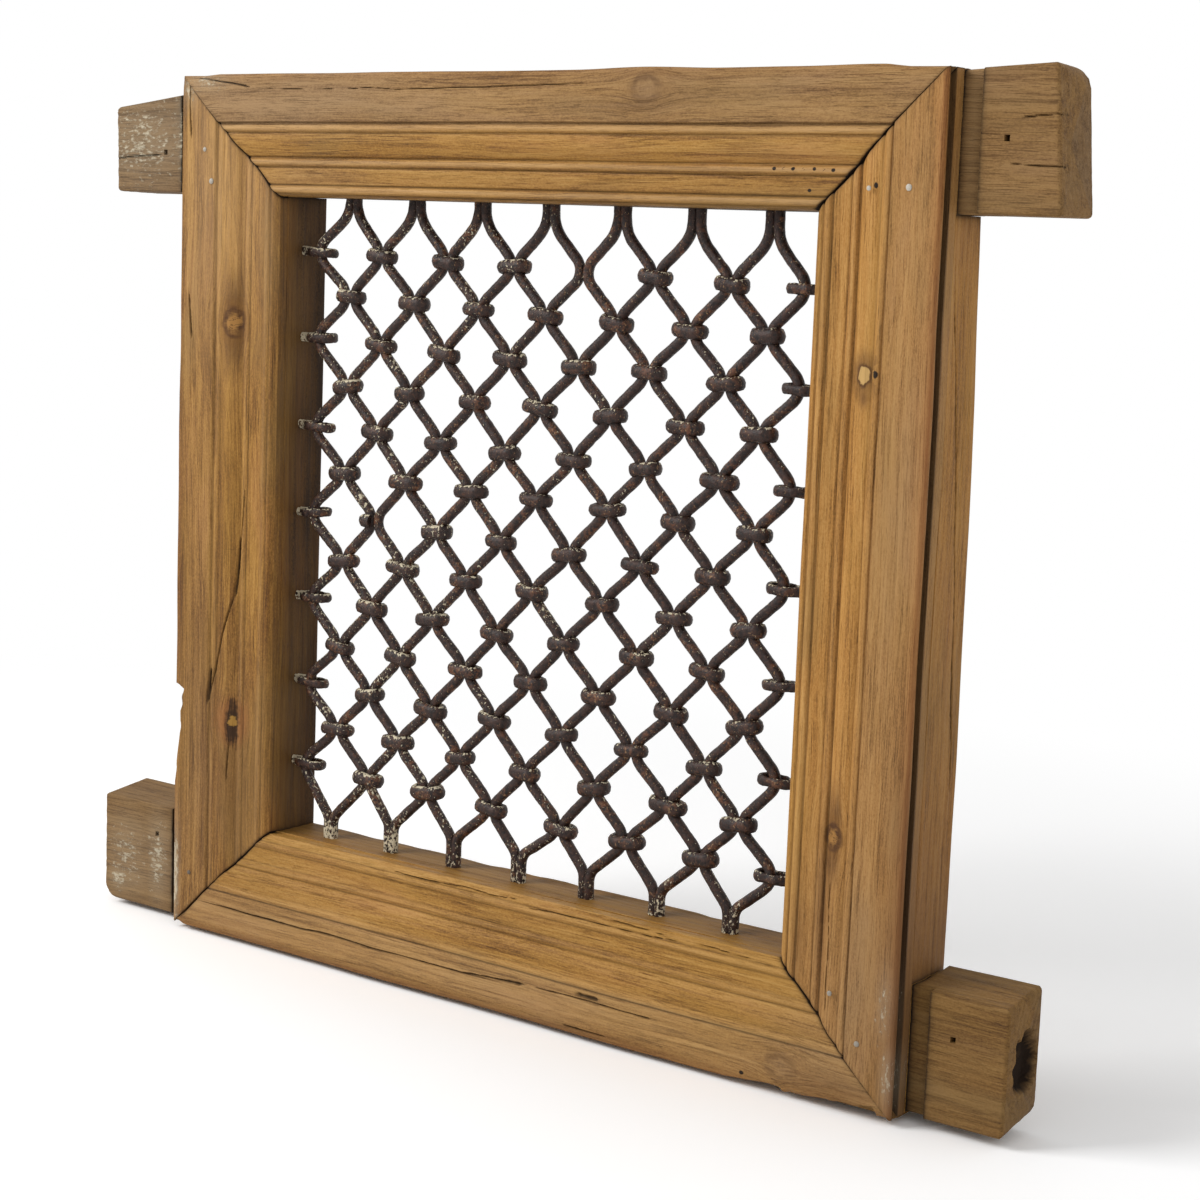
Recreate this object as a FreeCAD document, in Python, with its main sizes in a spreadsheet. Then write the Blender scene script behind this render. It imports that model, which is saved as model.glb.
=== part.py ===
import FreeCAD, Part
import math
import os
import re
import Sketcher

# Jali window: a mitred, moulded teak frame whose rails run through as horns, holding a wrought-iron
# grille of bent bars that touch in turn and are clasped by forged collars.
# Millimetres, +Z up, front toward -Y, origin at the middle of the underside of the whole window.

SIZES = {
    # Frame members
    "frame_width": 700,
    "frame_height": 700,
    "frame_depth": 62,
    "stile_face": 100,
    "head_face": 93.5,
    "sill_face": 92,
    "lap_depth": 21,
    "joint_gap": 0.2,
    # Moulding: widths as shares of a member's face, depths below the front
    "arris": 4,
    "band_share": 0.39,
    "bead_share": 0.07,
    "ovolo_share": 0.19,
    "fillet_share": 0.14,
    "first_step": 2.5,
    "second_step": 8,
    "inner_step": 12.5,
    "arris_rise": 1.1,
    "bead_rise": 1.2,
    "ovolo_rise": 2,
    "nose_rise": 1.5,
    # Quirk along the outer side of each stile
    "quirk_inset": 5,
    "quirk_width": 5,
    "quirk_depth": 4,
    # Horns and their nail holes
    "left_horn": 96,
    "right_horn": 79,
    "horn_setback": 15,
    "horn_corner": 5,
    "strip_width": 17.5,
    "horn_hole": 4,
    "hole_reach": 36.5,
    "left_head_hole": 33.5,
    "right_head_hole": 49,
    "left_sill_hole": 25.5,
    "right_sill_hole": 29.5,
    # Upper left horn, cut away along its top
    "cut_at_root": 12,
    "cut_at_tip": 24,
    # Stile tenons
    "tenon_width": 56,
    "tenon_thickness": 12,
    "tenon_length": 45,
    # Corner nails
    "nail_size": 5,
    "nail_bite": 8,
    "nail_gap": 0.1,
    # Grille
    "bar_size": 7.6,
    "bar_gap": 0.2,
    "side_gap": 18.2,
    "top_drop": 13.4,
    "bottom_rise": 15.2,
    "bend_share": 0.7,
    "socket_depth": 22,
    "row_fall": 0.023,
    "grille_depth": 37,
    "fit_gap": 0.2,
    # Collars and staples
    "collar_width": 26,
    "collar_depth": 15,
    "collar_height": 10,
    "collar_corner": 4.5,
    "collar_bevel": 2.2,
    "strap_thickness": 4,
    "strap_height": 9,
    "nose_gap": 3,
    "nose_thickness": 5,
    "tail_depth": 16,
}

PAIRS = 7
ROWS = 14
MISSING_COLLAR = 3
# Nails of each corner: distance from the stile's outer edge, distance from the rail's inner edge
NAILS = {
    ("left", "head"): ((26, 35.5), (34, 10.5)),
    ("right", "head"): ((24, 16.5), (54, 15.5)),
    ("left", "sill"): ((19, 46),),
    ("right", "sill"): ((28.5, 43.5), (52, 13)),
}
SIGNS = {"left": "-", "right": "+"}
OCTAGON_SIDE = math.tan(math.pi / 8) / 2

PAIR_PITCH = f"((frame_width - 2 * stile_face - 2 * side_gap) / {PAIRS})"
ROW_PITCH = f"((frame_height - head_face - sill_face - top_drop - bottom_rise) / {ROWS})"
HALF_PAIR = "((bar_size + bar_gap) / 2)"
SWING = f"({PAIR_PITCH} / 2 - 2 * {HALF_PAIR})"
BAR_REACH = f"(side_gap + {HALF_PAIR})"
BAR_ROOM = "(bar_size / 2 + fit_gap)"
HALF_KISS = "((collar_height + bend_share * bar_size) / 2)"
FRAME_X = "((left_horn - right_horn) / 2)"
FRONT_Y = "(-frame_depth / 2)"
GRILLE_Y = "(grille_depth - frame_depth / 2)"
TENON_Y = "((lap_depth + frame_depth) / 2)"

doc = FreeCAD.newDocument("jali_window")


def make_sheet():
    """Sheet with one named cell per size."""
    sheet = doc.addObject("Spreadsheet::Sheet", "Sizes")
    for row, (name, value) in enumerate(SIZES.items(), 1):
        sheet.set(f"A{row}", name)
        sheet.set(f"B{row}", str(value))
        sheet.setAlias(f"B{row}", name)
    doc.recompute()
    return sheet


def on_sheet(formula):
    """A formula in size names as an expression on the sheet."""
    return re.sub(r"[a-z_]+", lambda word: f"Sizes.{word[0]}" if word[0] in SIZES else word[0], formula)


def value_of(formula):
    """The present value of a formula in size names."""
    return float(sizes.evalExpression(on_sheet(formula)))


def bind(target, prop, formula):
    """Drive a property by a formula in size names."""
    target.setExpression(prop, on_sheet(formula))


def new_body(label, x, y, z, axis=(0, 1, 0), turn=0):
    """Empty body with a driven position and a fixed turn."""
    body = doc.addObject("PartDesign::Body", label)
    body.Label = label
    body.Placement = FreeCAD.Placement(FreeCAD.Vector(), FreeCAD.Rotation(FreeCAD.Vector(*axis), turn))
    bind(body, ".Placement.Base.x", x)
    bind(body, ".Placement.Base.y", y)
    bind(body, ".Placement.Base.z", z)
    return body


def origin_feature(body, role):
    """Plane or axis of a body's own origin."""
    return next(feature for feature in body.Origin.OriginFeatures if feature.Role == role)


def new_sketch(body, plane, lift="0"):
    """Sketch on an origin plane of the body, lifted along the plane's normal."""
    sketch = body.newObject("Sketcher::SketchObject", "sketch")
    sketch.AttachmentSupport = (origin_feature(body, plane), [""])
    sketch.MapMode = "FlatFace"
    bind(sketch, ".AttachmentOffset.Base.z", lift)
    return sketch


def arc_radius(start, end, rise):
    """Radius formula of an arc that stands a rise above the chord from start to end."""
    chord_squared = f"((({end[0]}) - ({start[0]}))^2 + (({end[1]}) - ({start[1]}))^2)"
    return f"({chord_squared} / (8 * {rise}) + {rise} / 2)"


def add_segment(sketch, start, end, rise):
    """Line, or arc standing to the left of its travel; returns its index and its two end numbers."""
    first = FreeCAD.Vector(value_of(start[0]), value_of(start[1]), 0)
    last = FreeCAD.Vector(value_of(end[0]), value_of(end[1]), 0)
    if rise is None:
        return sketch.addGeometry(Part.LineSegment(first, last)), 1, 2
    along = (last - first).normalize()
    crown = (first + last) / 2 + FreeCAD.Vector(-along.y, along.x, 0) * value_of(rise)
    index = sketch.addGeometry(Part.ArcOfCircle(first, crown, last))
    radius = arc_radius(start, end, rise)
    number = sketch.addConstraint(Sketcher.Constraint("Radius", index, value_of(radius)))
    bind(sketch, f"Constraints[{number}]", radius)
    starts_first = sketch.getPoint(index, 1).distanceToPoint(first) < 1e-6
    return (index, 1, 2) if starts_first else (index, 2, 1)


def place_end(sketch, index, end, corner):
    """Drive the position of one end of a segment."""
    for kind, formula in zip(("DistanceX", "DistanceY"), corner):
        number = sketch.addConstraint(Sketcher.Constraint(kind, -1, 1, index, end, value_of(formula)))
        bind(sketch, f"Constraints[{number}]", formula)


def draw(sketch, corners, rises=None, closed=True):
    """Outline through corners given as pairs of formulas; rises turn the segments they name into arcs."""
    rises = rises or {}
    ends = corners[1:] + corners[:1] if closed else corners[1:]
    segments = []
    for position, (start, end) in enumerate(zip(corners, ends)):
        segments.append(add_segment(sketch, start, end, rises.get(position)))
    for (index, _, tail), (following, head, _) in zip(segments, segments[1:]):
        sketch.addConstraint(Sketcher.Constraint("Coincident", index, tail, following, head))
    for (index, head, _), corner in zip(segments, corners):
        place_end(sketch, index, head, corner)
    last, _, tail = segments[-1]
    if closed:
        first, head, _ = segments[0]
        sketch.addConstraint(Sketcher.Constraint("Coincident", last, tail, first, head))
    else:
        place_end(sketch, last, tail, corners[-1])


def box(x, y, width, depth):
    """Corners of a rectangle about a centre."""
    left, right = f"({x}) - ({width}) / 2", f"({x}) + ({width}) / 2"
    low, high = f"({y}) - ({depth}) / 2", f"({y}) + ({depth}) / 2"
    return [(left, low), (right, low), (right, high), (left, high)]


def octagon(x, y, size):
    """Corners of a regular octagon about a centre, size measured across its flats."""
    near, far = f"{OCTAGON_SIDE:.5f} * ({size})", f"({size}) / 2"
    steps = [(far, near), (near, far), (f"-{near}", far), (f"-{far}", near)]
    steps += [(f"-{far}", f"-{near}"), (f"-{near}", f"-{far}"), (near, f"-{far}"), (far, f"-{near}")]
    return [(f"({x}) + {dx}", f"({y}) + {dy}") for dx, dy in steps]


def extrude(body, kind, sketch, length, side="One side", backward=False):
    """Pad or Pocket of a sketch."""
    feature = body.newObject(f"PartDesign::{kind}", kind.lower())
    feature.Profile = sketch
    feature.SideType = side
    feature.Reversed = backward
    bind(feature, "Length", length)
    return feature


def repeat(body, originals, direction, pitch, count):
    """Linear pattern of features along an axis."""
    pattern = body.newObject("PartDesign::LinearPattern", "pattern")
    pattern.Originals = originals
    pattern.Direction = direction
    pattern.Occurrences = count
    bind(pattern, "Length", f"{pitch} * {count - 1}")
    body.Tip = pattern


# Frame members are built lying along X with the outer edge at z = 0 and the front at y = 0


def moulded_length(body, face, length):
    """Length of moulded stuff: flat band, bead, ovolo, bead, fillet, bead and rounded inner nose."""
    sketch = new_sketch(body, "YZ_Plane")
    widths = ["band_share", "bead_share", "ovolo_share", "bead_share", "fillet_share", "bead_share"]
    band, bead, ovolo, second, fillet, third = [
        f"({' + '.join(widths[: count + 1])}) * {face}" for count in range(len(widths))
    ]
    corners = [
        ("arris", "0"),
        ("0", "arris"),
        ("0", band),
        ("first_step", band),
        ("first_step", bead),
        ("second_step", ovolo),
        ("second_step", second),
        ("second_step", fillet),
        ("second_step", third),
        ("inner_step", face),
        ("frame_depth", face),
        ("frame_depth", "0"),
    ]
    beads = {3: "bead_rise", 5: "bead_rise", 7: "bead_rise"}
    draw(sketch, corners, {0: "arris_rise", 4: "ovolo_rise", 8: "nose_rise", **beads})
    extrude(body, "Pad", sketch, length, "Symmetric")


def cut_mitres(body, face, length, meets):
    """Mitre the front lap at both ends, from the outer corner to the inner corner of the frame."""
    sketch = new_sketch(body, "XZ_Plane")
    for sign, other in zip("+-", meets):
        end = f"{sign}({length} / 2)"
        draw(sketch, [
            (f"{sign}({length} / 2 - joint_gap / 2)", "0"),
            (end, "0"),
            (end, face),
            (f"{sign}({length} / 2 - {other} - joint_gap / 2)", face),
        ])
    extrude(body, "Pocket", sketch, "lap_depth")


def cut_squares(body, centres, size, depth):
    """Square holes from the front."""
    sketch = new_sketch(body, "XZ_Plane")
    for x, z in centres:
        draw(sketch, box(x, z, size, size))
    extrude(body, "Pocket", sketch, depth)


def add_horns(body, face, horns):
    """Back part of a rail carried past the stiles: a sunk strip, then a block with cut corners."""
    sketch = new_sketch(body, "XY_Plane")
    for sign, horn in zip("+-", horns):
        reaches = ("0", "strip_width", f"{horn} - horn_corner", horn)
        root, strip, corner, tip = [f"{sign}(frame_width / 2 + {reach})" for reach in reaches]
        draw(sketch, [
            (root, "lap_depth"),
            (strip, "lap_depth"),
            (strip, "horn_setback"),
            (corner, "horn_setback"),
            (tip, "horn_setback + horn_corner"),
            (tip, "frame_depth - horn_corner"),
            (corner, "frame_depth"),
            (root, "frame_depth"),
        ])
    extrude(body, "Pad", sketch, face)


def cut_mortises(body, face):
    """Mortises for the stile tenons, in the inner edge of a rail."""
    sketch = new_sketch(body, "XY_Plane", face)
    for sign in "+-":
        centre = f"{sign}(frame_width / 2 - stile_face / 2)"
        draw(sketch, box(centre, TENON_Y, "tenon_width + 2 * joint_gap", "tenon_thickness + 2 * joint_gap"))
    extrude(body, "Pocket", sketch, "tenon_length + joint_gap")


def cut_bar_sockets(body, face):
    """Row of chiselled sockets, each taking the ends of a pair of bars."""
    sketch = new_sketch(body, "XY_Plane", face)
    first = f"-{PAIR_PITCH} * {(PAIRS - 1) / 2}"
    draw(sketch, box(first, "grille_depth", f"2 * {BAR_ROOM} + 2 * {HALF_PAIR}", f"2 * {BAR_ROOM}"))
    socket = extrude(body, "Pocket", sketch, "socket_depth + fit_gap")
    repeat(body, [socket], (origin_feature(body, "X_Axis"), [""]), PAIR_PITCH, PAIRS)


def make_rail(rail, sides, z, turn):
    """Head or sill, its sides listed from the member's own +X end."""
    face = f"{rail}_face"
    body = new_body(f"{rail}_rail", FRAME_X, FRONT_Y, z, turn=turn)
    moulded_length(body, face, "frame_width")
    cut_mitres(body, face, "frame_width", ("stile_face", "stile_face"))
    add_horns(body, face, [f"{side}_horn" for side in sides])
    cut_mortises(body, face)
    holes = [
        (f"{sign}(frame_width / 2 + hole_reach)", f"{face} - {side}_{rail}_hole")
        for sign, side in zip("+-", sides)
    ]
    cut_squares(body, holes, "horn_hole", "frame_depth")
    nails = [
        (f"{sign}(frame_width / 2 - {inset})", f"{face} - {short}")
        for sign, side in zip("+-", sides)
        for inset, short in NAILS[side, rail]
    ]
    cut_squares(body, nails, "nail_size + 2 * nail_gap", "lap_depth + nail_bite + nail_gap")
    cut_bar_sockets(body, face)
    return body


def cut_horn(body, horn):
    """Cut the outer edge of the horn at a rail's own +X end away on a slope, deepest at the tip."""
    root, tip = "frame_width / 2", f"frame_width / 2 + {horn}"
    sketch = new_sketch(body, "XZ_Plane")
    draw(sketch, [(root, "0"), (tip, "0"), (tip, "cut_at_tip"), (root, "cut_at_root")])
    extrude(body, "Pocket", sketch, "frame_depth")


def cut_shoulders(body, rails):
    """Clear the back part of a stile where the rails run behind its lap."""
    sketch = new_sketch(body, "XY_Plane")
    for sign, rail in zip("+-", rails):
        end = f"{sign}(frame_height / 2)"
        shoulder = f"{sign}(frame_height / 2 - {rail} - joint_gap)"
        lap_back = "lap_depth - joint_gap"
        draw(sketch, [
            (shoulder, lap_back),
            (end, lap_back),
            (end, "frame_depth"),
            (shoulder, "frame_depth"),
        ])
    extrude(body, "Pocket", sketch, "stile_face", backward=True)


def add_tenons(body, rails):
    """Tenon on each shoulder of a stile, in the middle of its width."""
    sketch = new_sketch(body, "XY_Plane", "(stile_face - tenon_width) / 2")
    for sign, rail in zip("+-", rails):
        centre = f"{sign}(frame_height / 2 - {rail} + (tenon_length - joint_gap) / 2)"
        draw(sketch, box(centre, TENON_Y, "tenon_length + joint_gap", "tenon_thickness"))
    extrude(body, "Pad", sketch, "tenon_width")


def cut_quirk(body):
    """Groove along the outer side, behind the front arris."""
    sketch = new_sketch(body, "YZ_Plane")
    draw(sketch, box("quirk_inset + quirk_width / 2", "quirk_depth / 2", "quirk_width", "quirk_depth"))
    extrude(body, "Pocket", sketch, "frame_height", "Symmetric")


def cut_staple_slots(body, head_sign, place):
    """Two slots for each staple in the inner edge, in a column from the member's own -X end."""
    sketch = new_sketch(body, "XY_Plane", "stile_face")
    row = ROWS - 1 if head_sign == "+" else 1
    lowest = f"{head_sign}({row_height(row, place)} - frame_height / 2)"
    for side in "+-":
        leg = f"grille_depth {side} ({BAR_ROOM} + strap_thickness / 2)"
        draw(sketch, box(lowest, leg, "strap_height + 2 * fit_gap", "strap_thickness + 2 * fit_gap"))
    slots = extrude(body, "Pocket", sketch, "tail_depth + fit_gap")
    repeat(body, [slots], (origin_feature(body, "X_Axis"), [""]), f"2 * {ROW_PITCH}", ROWS // 2)


def make_stile(side, turn, rails):
    """Left or right stile between the rails, which are listed from the member's own +X end."""
    sign = SIGNS[side]
    edge = f"{FRAME_X} {sign} frame_width / 2"
    body = new_body(f"{side}_stile", edge, FRONT_Y, "frame_height / 2", turn=turn)
    faces = [f"{rail}_face" for rail in rails]
    moulded_length(body, "stile_face", "frame_height")
    cut_quirk(body)
    cut_mitres(body, "stile_face", "frame_height", faces)
    cut_shoulders(body, faces)
    add_tenons(body, faces)
    nails = [
        (f"{end}(frame_height / 2 - {rail}_face + {short})", f"{inset}")
        for end, rail in zip("+-", rails)
        for inset, short in NAILS[side, rail]
    ]
    cut_squares(body, nails, "nail_size + 2 * nail_gap", "lap_depth")
    cut_staple_slots(body, "+" if rails[0] == "head" else "-", f"{sign}{PAIRS / 2}")


def make_nails():
    """Square forged nails at the corners, driven flush through the stile's lap into the rail."""
    body = new_body("corner_nails", FRAME_X, FRONT_Y, "0")
    sketch = new_sketch(body, "XZ_Plane")
    for (side, rail), places in NAILS.items():
        for inset, short in places:
            x = f"{SIGNS[side]}(frame_width / 2 - {inset})"
            z = f"frame_height - head_face + {short}" if rail == "head" else f"sill_face - {short}"
            draw(sketch, box(x, z, "nail_size", "nail_size"))
    extrude(body, "Pad", sketch, "lap_depth + nail_bite", backward=True)


def fall(place):
    """Drop of a row at a place counted in pair pitches from the middle; rows fall toward the right."""
    return f"row_fall * {PAIR_PITCH} * ({place})"


def row_height(row, place):
    """Height of a meeting, its row counted down from the pairs' entry in the head."""
    return f"frame_height - head_face - top_drop - {ROW_PITCH} * {row} - {fall(place)}"


def bar_path(place, sign):
    """Corners of a bar's centre line, upward from its lower end: straight at each meeting, then across."""
    path = [("0", "0")]
    for step in range(ROWS + 1):
        x = f"{sign}{SWING}" if step % 2 else "0"
        reach = f"{place} {sign} 0.5" if step % 2 else place
        meeting = f"socket_depth + bottom_rise + {ROW_PITCH} * {step} - {fall(reach)}"
        if step > 0:
            path.append((x, f"{meeting} - {HALF_KISS}"))
        if step < ROWS:
            path.append((x, f"{meeting} + {HALF_KISS}"))
    path.append(("0", f"2 * socket_depth + bottom_rise + top_drop + {ROW_PITCH} * {ROWS}"))
    return path


def make_bar(label, pair, sign):
    """One bent bar; the two bars of a pair lean away from each other."""
    place = pair - (PAIRS - 1) / 2
    x = f"{FRAME_X} + {PAIR_PITCH} * ({place}) {sign} {HALF_PAIR}"
    body = new_body(label, x, GRILLE_Y, "sill_face - socket_depth")
    path = new_sketch(body, "XZ_Plane")
    draw(path, bar_path(place, sign), closed=False)
    profile = new_sketch(body, "XY_Plane")
    draw(profile, octagon("0", "0", "bar_size"))
    pipe = body.newObject("PartDesign::AdditivePipe", "pipe")
    pipe.Profile = profile
    pipe.Spine = path
    pipe.Transition = "Right corner"


def bevel_sides(body, plane, half, run):
    """Slope one pair of a collar's sides from the middle of its height to its top and bottom."""
    sketch = new_sketch(body, plane)
    for sign in "+-":
        draw(sketch, [
            (f"{sign}({half} - collar_bevel)", "collar_height / 2"),
            (f"{sign}({half})", "0"),
            (f"{sign}({half} - collar_bevel)", "-collar_height / 2"),
            (f"{sign}2 * {half}", "-collar_height / 2"),
            (f"{sign}2 * {half}", "collar_height / 2"),
        ])
    return extrude(body, "Pocket", sketch, run, "Symmetric")


def collar(body):
    """Bevelled band with a hole for two bars; returns its features."""
    outline = new_sketch(body, "XY_Plane")
    wide, deep = "collar_width / 2", "collar_depth / 2"
    quarter = [(wide, f"{deep} - collar_corner"), (f"{wide} - collar_corner", deep)]
    draw(outline, [
        *quarter,
        *[(f"-({x})", y) for x, y in reversed(quarter)],
        *[(f"-({x})", f"-({y})") for x, y in quarter],
        *[(x, f"-({y})") for x, y in reversed(quarter)],
    ])
    band = extrude(body, "Pad", outline, "collar_height", "Symmetric")
    hole = new_sketch(body, "XY_Plane")
    draw(hole, box("0", "0", f"2 * {HALF_PAIR} + 2 * {BAR_ROOM}", f"2 * {BAR_ROOM}"))
    opening = extrude(body, "Pocket", hole, "2 * collar_height", "Symmetric")
    ends = bevel_sides(body, "XZ_Plane", wide, "2 * collar_depth")
    faces = bevel_sides(body, "YZ_Plane", deep, "collar_width")
    return [band, opening, ends, faces]


def collar_body(label, row, place):
    """Body at a meeting of a row, its place counted in pair pitches from the middle."""
    return new_body(label, f"{FRAME_X} + {PAIR_PITCH} * ({place})", GRILLE_Y, row_height(row, place))


def row_line(body):
    """Guide along a row, from one collar to the next."""
    sketch = new_sketch(body, "XZ_Plane")
    draw(sketch, [("0", "0"), (PAIR_PITCH, f"-{fall(1)}")], closed=False)
    sketch.toggleConstruction(0)
    return sketch, ["Axis0"]


def make_collars(label, row, place, count):
    """Run of collars along a row."""
    body = collar_body(label, row, place)
    repeat(body, collar(body), row_line(body), f"{PAIR_PITCH} * sqrt(1 + row_fall^2)", count)


def make_broken_collar(row, place):
    """Collar whose right half has gone, still clasping the left bar."""
    body = collar_body("broken_collar", row, place)
    collar(body)
    lost = new_sketch(body, "XY_Plane")
    draw(lost, box("collar_width / 2", "0", "collar_width", "2 * collar_depth"))
    extrude(body, "Pocket", lost, "2 * collar_height", "Symmetric")


def make_grille_collars():
    """Collars of all rows; the first row lacks one, the middle row begins with the broken one."""
    for row in range(1, ROWS):
        count = PAIRS - row % 2
        place = -(count - 1) / 2
        label = f"collars_row_{row:02d}"
        if row == 1:
            make_collars(f"{label}_left", row, place, MISSING_COLLAR)
            make_collars(f"{label}_right", row, place + MISSING_COLLAR + 1, count - MISSING_COLLAR - 1)
        elif row == ROWS // 2:
            make_broken_collar(row, place)
            make_collars(label, row, place + 1, count - 1)
        else:
            make_collars(label, row, place, count)


def make_staples(side, turn):
    """Column of U straps round the outer bar, tails driven into the stile."""
    sign = SIGNS[side]
    x = f"{FRAME_X} {sign} (frame_width / 2 - stile_face - {BAR_REACH})"
    z = row_height(ROWS - 1, f"{sign}{PAIRS / 2}")
    body = new_body(f"{side}_staples", x, GRILLE_Y, z, axis=(0, 0, 1), turn=turn)
    sketch = new_sketch(body, "XY_Plane")
    outside = f"({BAR_ROOM} + strap_thickness)"
    inside = f"({BAR_ROOM} + nose_gap)"
    nose = f"({inside} + nose_thickness)"
    tail = f"-({BAR_REACH} + tail_depth)"
    draw(sketch, [
        (tail, f"-{outside}"),
        (f"{nose} - strap_thickness", f"-{outside}"),
        (nose, f"-{BAR_ROOM}"),
        (nose, BAR_ROOM),
        (f"{nose} - strap_thickness", outside),
        (tail, outside),
        (tail, BAR_ROOM),
        (inside, BAR_ROOM),
        (inside, f"-{BAR_ROOM}"),
        (tail, f"-{BAR_ROOM}"),
    ])
    strap = extrude(body, "Pad", sketch, "strap_height", "Symmetric")
    repeat(body, [strap], (origin_feature(body, "Z_Axis"), [""]), f"2 * {ROW_PITCH}", ROWS // 2)


def check_objects():
    """Stop if any object failed, is empty, or is a pocket that removed nothing."""
    for item in doc.Objects:
        if {"Invalid", "Error"} & set(item.State):
            raise RuntimeError(f"{item.Name} is not valid: {item.State}")
        if item.isDerivedFrom("PartDesign::Feature") and (item.Shape.isNull() or not item.Shape.isValid()):
            raise RuntimeError(f"{item.Name} has no valid shape")
        if item.TypeId == "PartDesign::Pocket" and item.Shape.Volume > item.BaseFeature.Shape.Volume - 1:
            raise RuntimeError(f"{item.Name} removed nothing")


def write_parts():
    """One STEP file for each body."""
    os.makedirs("parts", exist_ok=True)
    for body in doc.findObjects("PartDesign::Body"):
        body.Shape.exportStep(f"parts/{body.Label}.step")


sizes = make_sheet()
cut_horn(make_rail("head", ("left", "right"), "frame_height", 180), "left_horn")
make_rail("sill", ("right", "left"), "0", 0)
make_stile("left", 90, ("sill", "head"))
make_stile("right", -90, ("head", "sill"))
make_nails()
for pair_number in range(PAIRS):
    make_bar(f"bar_{2 * pair_number + 1:02d}", pair_number, "-")
    make_bar(f"bar_{2 * pair_number + 2:02d}", pair_number, "+")
make_grille_collars()
make_staples("left", 0)
make_staples("right", 180)
doc.recompute()
check_objects()
write_parts()
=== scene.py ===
import itertools
import logging
import math
from dataclasses import dataclass, field
from enum import Enum
from typing import Mapping, Sequence, Union

import bmesh
import bpy
import numpy as np
from mathutils import Matrix, Vector


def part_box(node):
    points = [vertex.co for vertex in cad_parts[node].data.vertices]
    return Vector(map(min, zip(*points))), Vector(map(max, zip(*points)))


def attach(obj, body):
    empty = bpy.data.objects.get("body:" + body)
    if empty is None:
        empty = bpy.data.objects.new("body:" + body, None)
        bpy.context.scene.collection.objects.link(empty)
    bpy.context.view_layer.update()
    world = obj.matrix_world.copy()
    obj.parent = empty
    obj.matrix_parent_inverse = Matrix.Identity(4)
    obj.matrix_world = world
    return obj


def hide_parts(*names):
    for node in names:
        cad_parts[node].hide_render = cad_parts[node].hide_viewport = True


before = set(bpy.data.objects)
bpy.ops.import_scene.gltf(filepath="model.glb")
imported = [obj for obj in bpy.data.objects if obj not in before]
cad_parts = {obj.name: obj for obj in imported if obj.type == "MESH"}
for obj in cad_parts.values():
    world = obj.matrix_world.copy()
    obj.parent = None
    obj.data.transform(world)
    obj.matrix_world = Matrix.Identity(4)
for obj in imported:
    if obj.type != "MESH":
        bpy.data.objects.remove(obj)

LOG = logging.getLogger("jali_window")
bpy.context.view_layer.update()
MM = 0.001
HAIR = 0.05 * MM
SHARP_ANGLE = math.radians(40)
BODY = "root"

Array = np.ndarray
Colour = tuple[float, float, float, float]
Term = Union["Pin", float, int, Sequence[float], str, bpy.types.ID]


def paint(red: float, green: float, blue: float) -> Colour:
    """Turn display values from 0 to 255 into a linear colour.

    Args:
        red: Red as shown.
        green: Green as shown.
        blue: Blue as shown.

    Returns:
        The colour that renders as those values under plain light.
    """
    shown = np.array([red, green, blue]) / 255
    linear = np.where(shown <= 0.04045, shown / 12.92, ((shown + 0.055) / 1.055) ** 2.4)
    return (float(linear[0]), float(linear[1]), float(linear[2]), 1.0)


def unit(values: Array) -> Array:
    """Values held between 0 and 1."""
    return np.clip(values, 0, 1)


def put(name: str, data: bpy.types.ID) -> bpy.types.Object:
    """Put a new object into the scene.

    Args:
        name: Its name.
        data: Its mesh, curve, lamp or camera.

    Returns:
        The object.
    """
    thing = bpy.data.objects.new(name, data)
    bpy.context.collection.objects.link(thing)
    return thing


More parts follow.
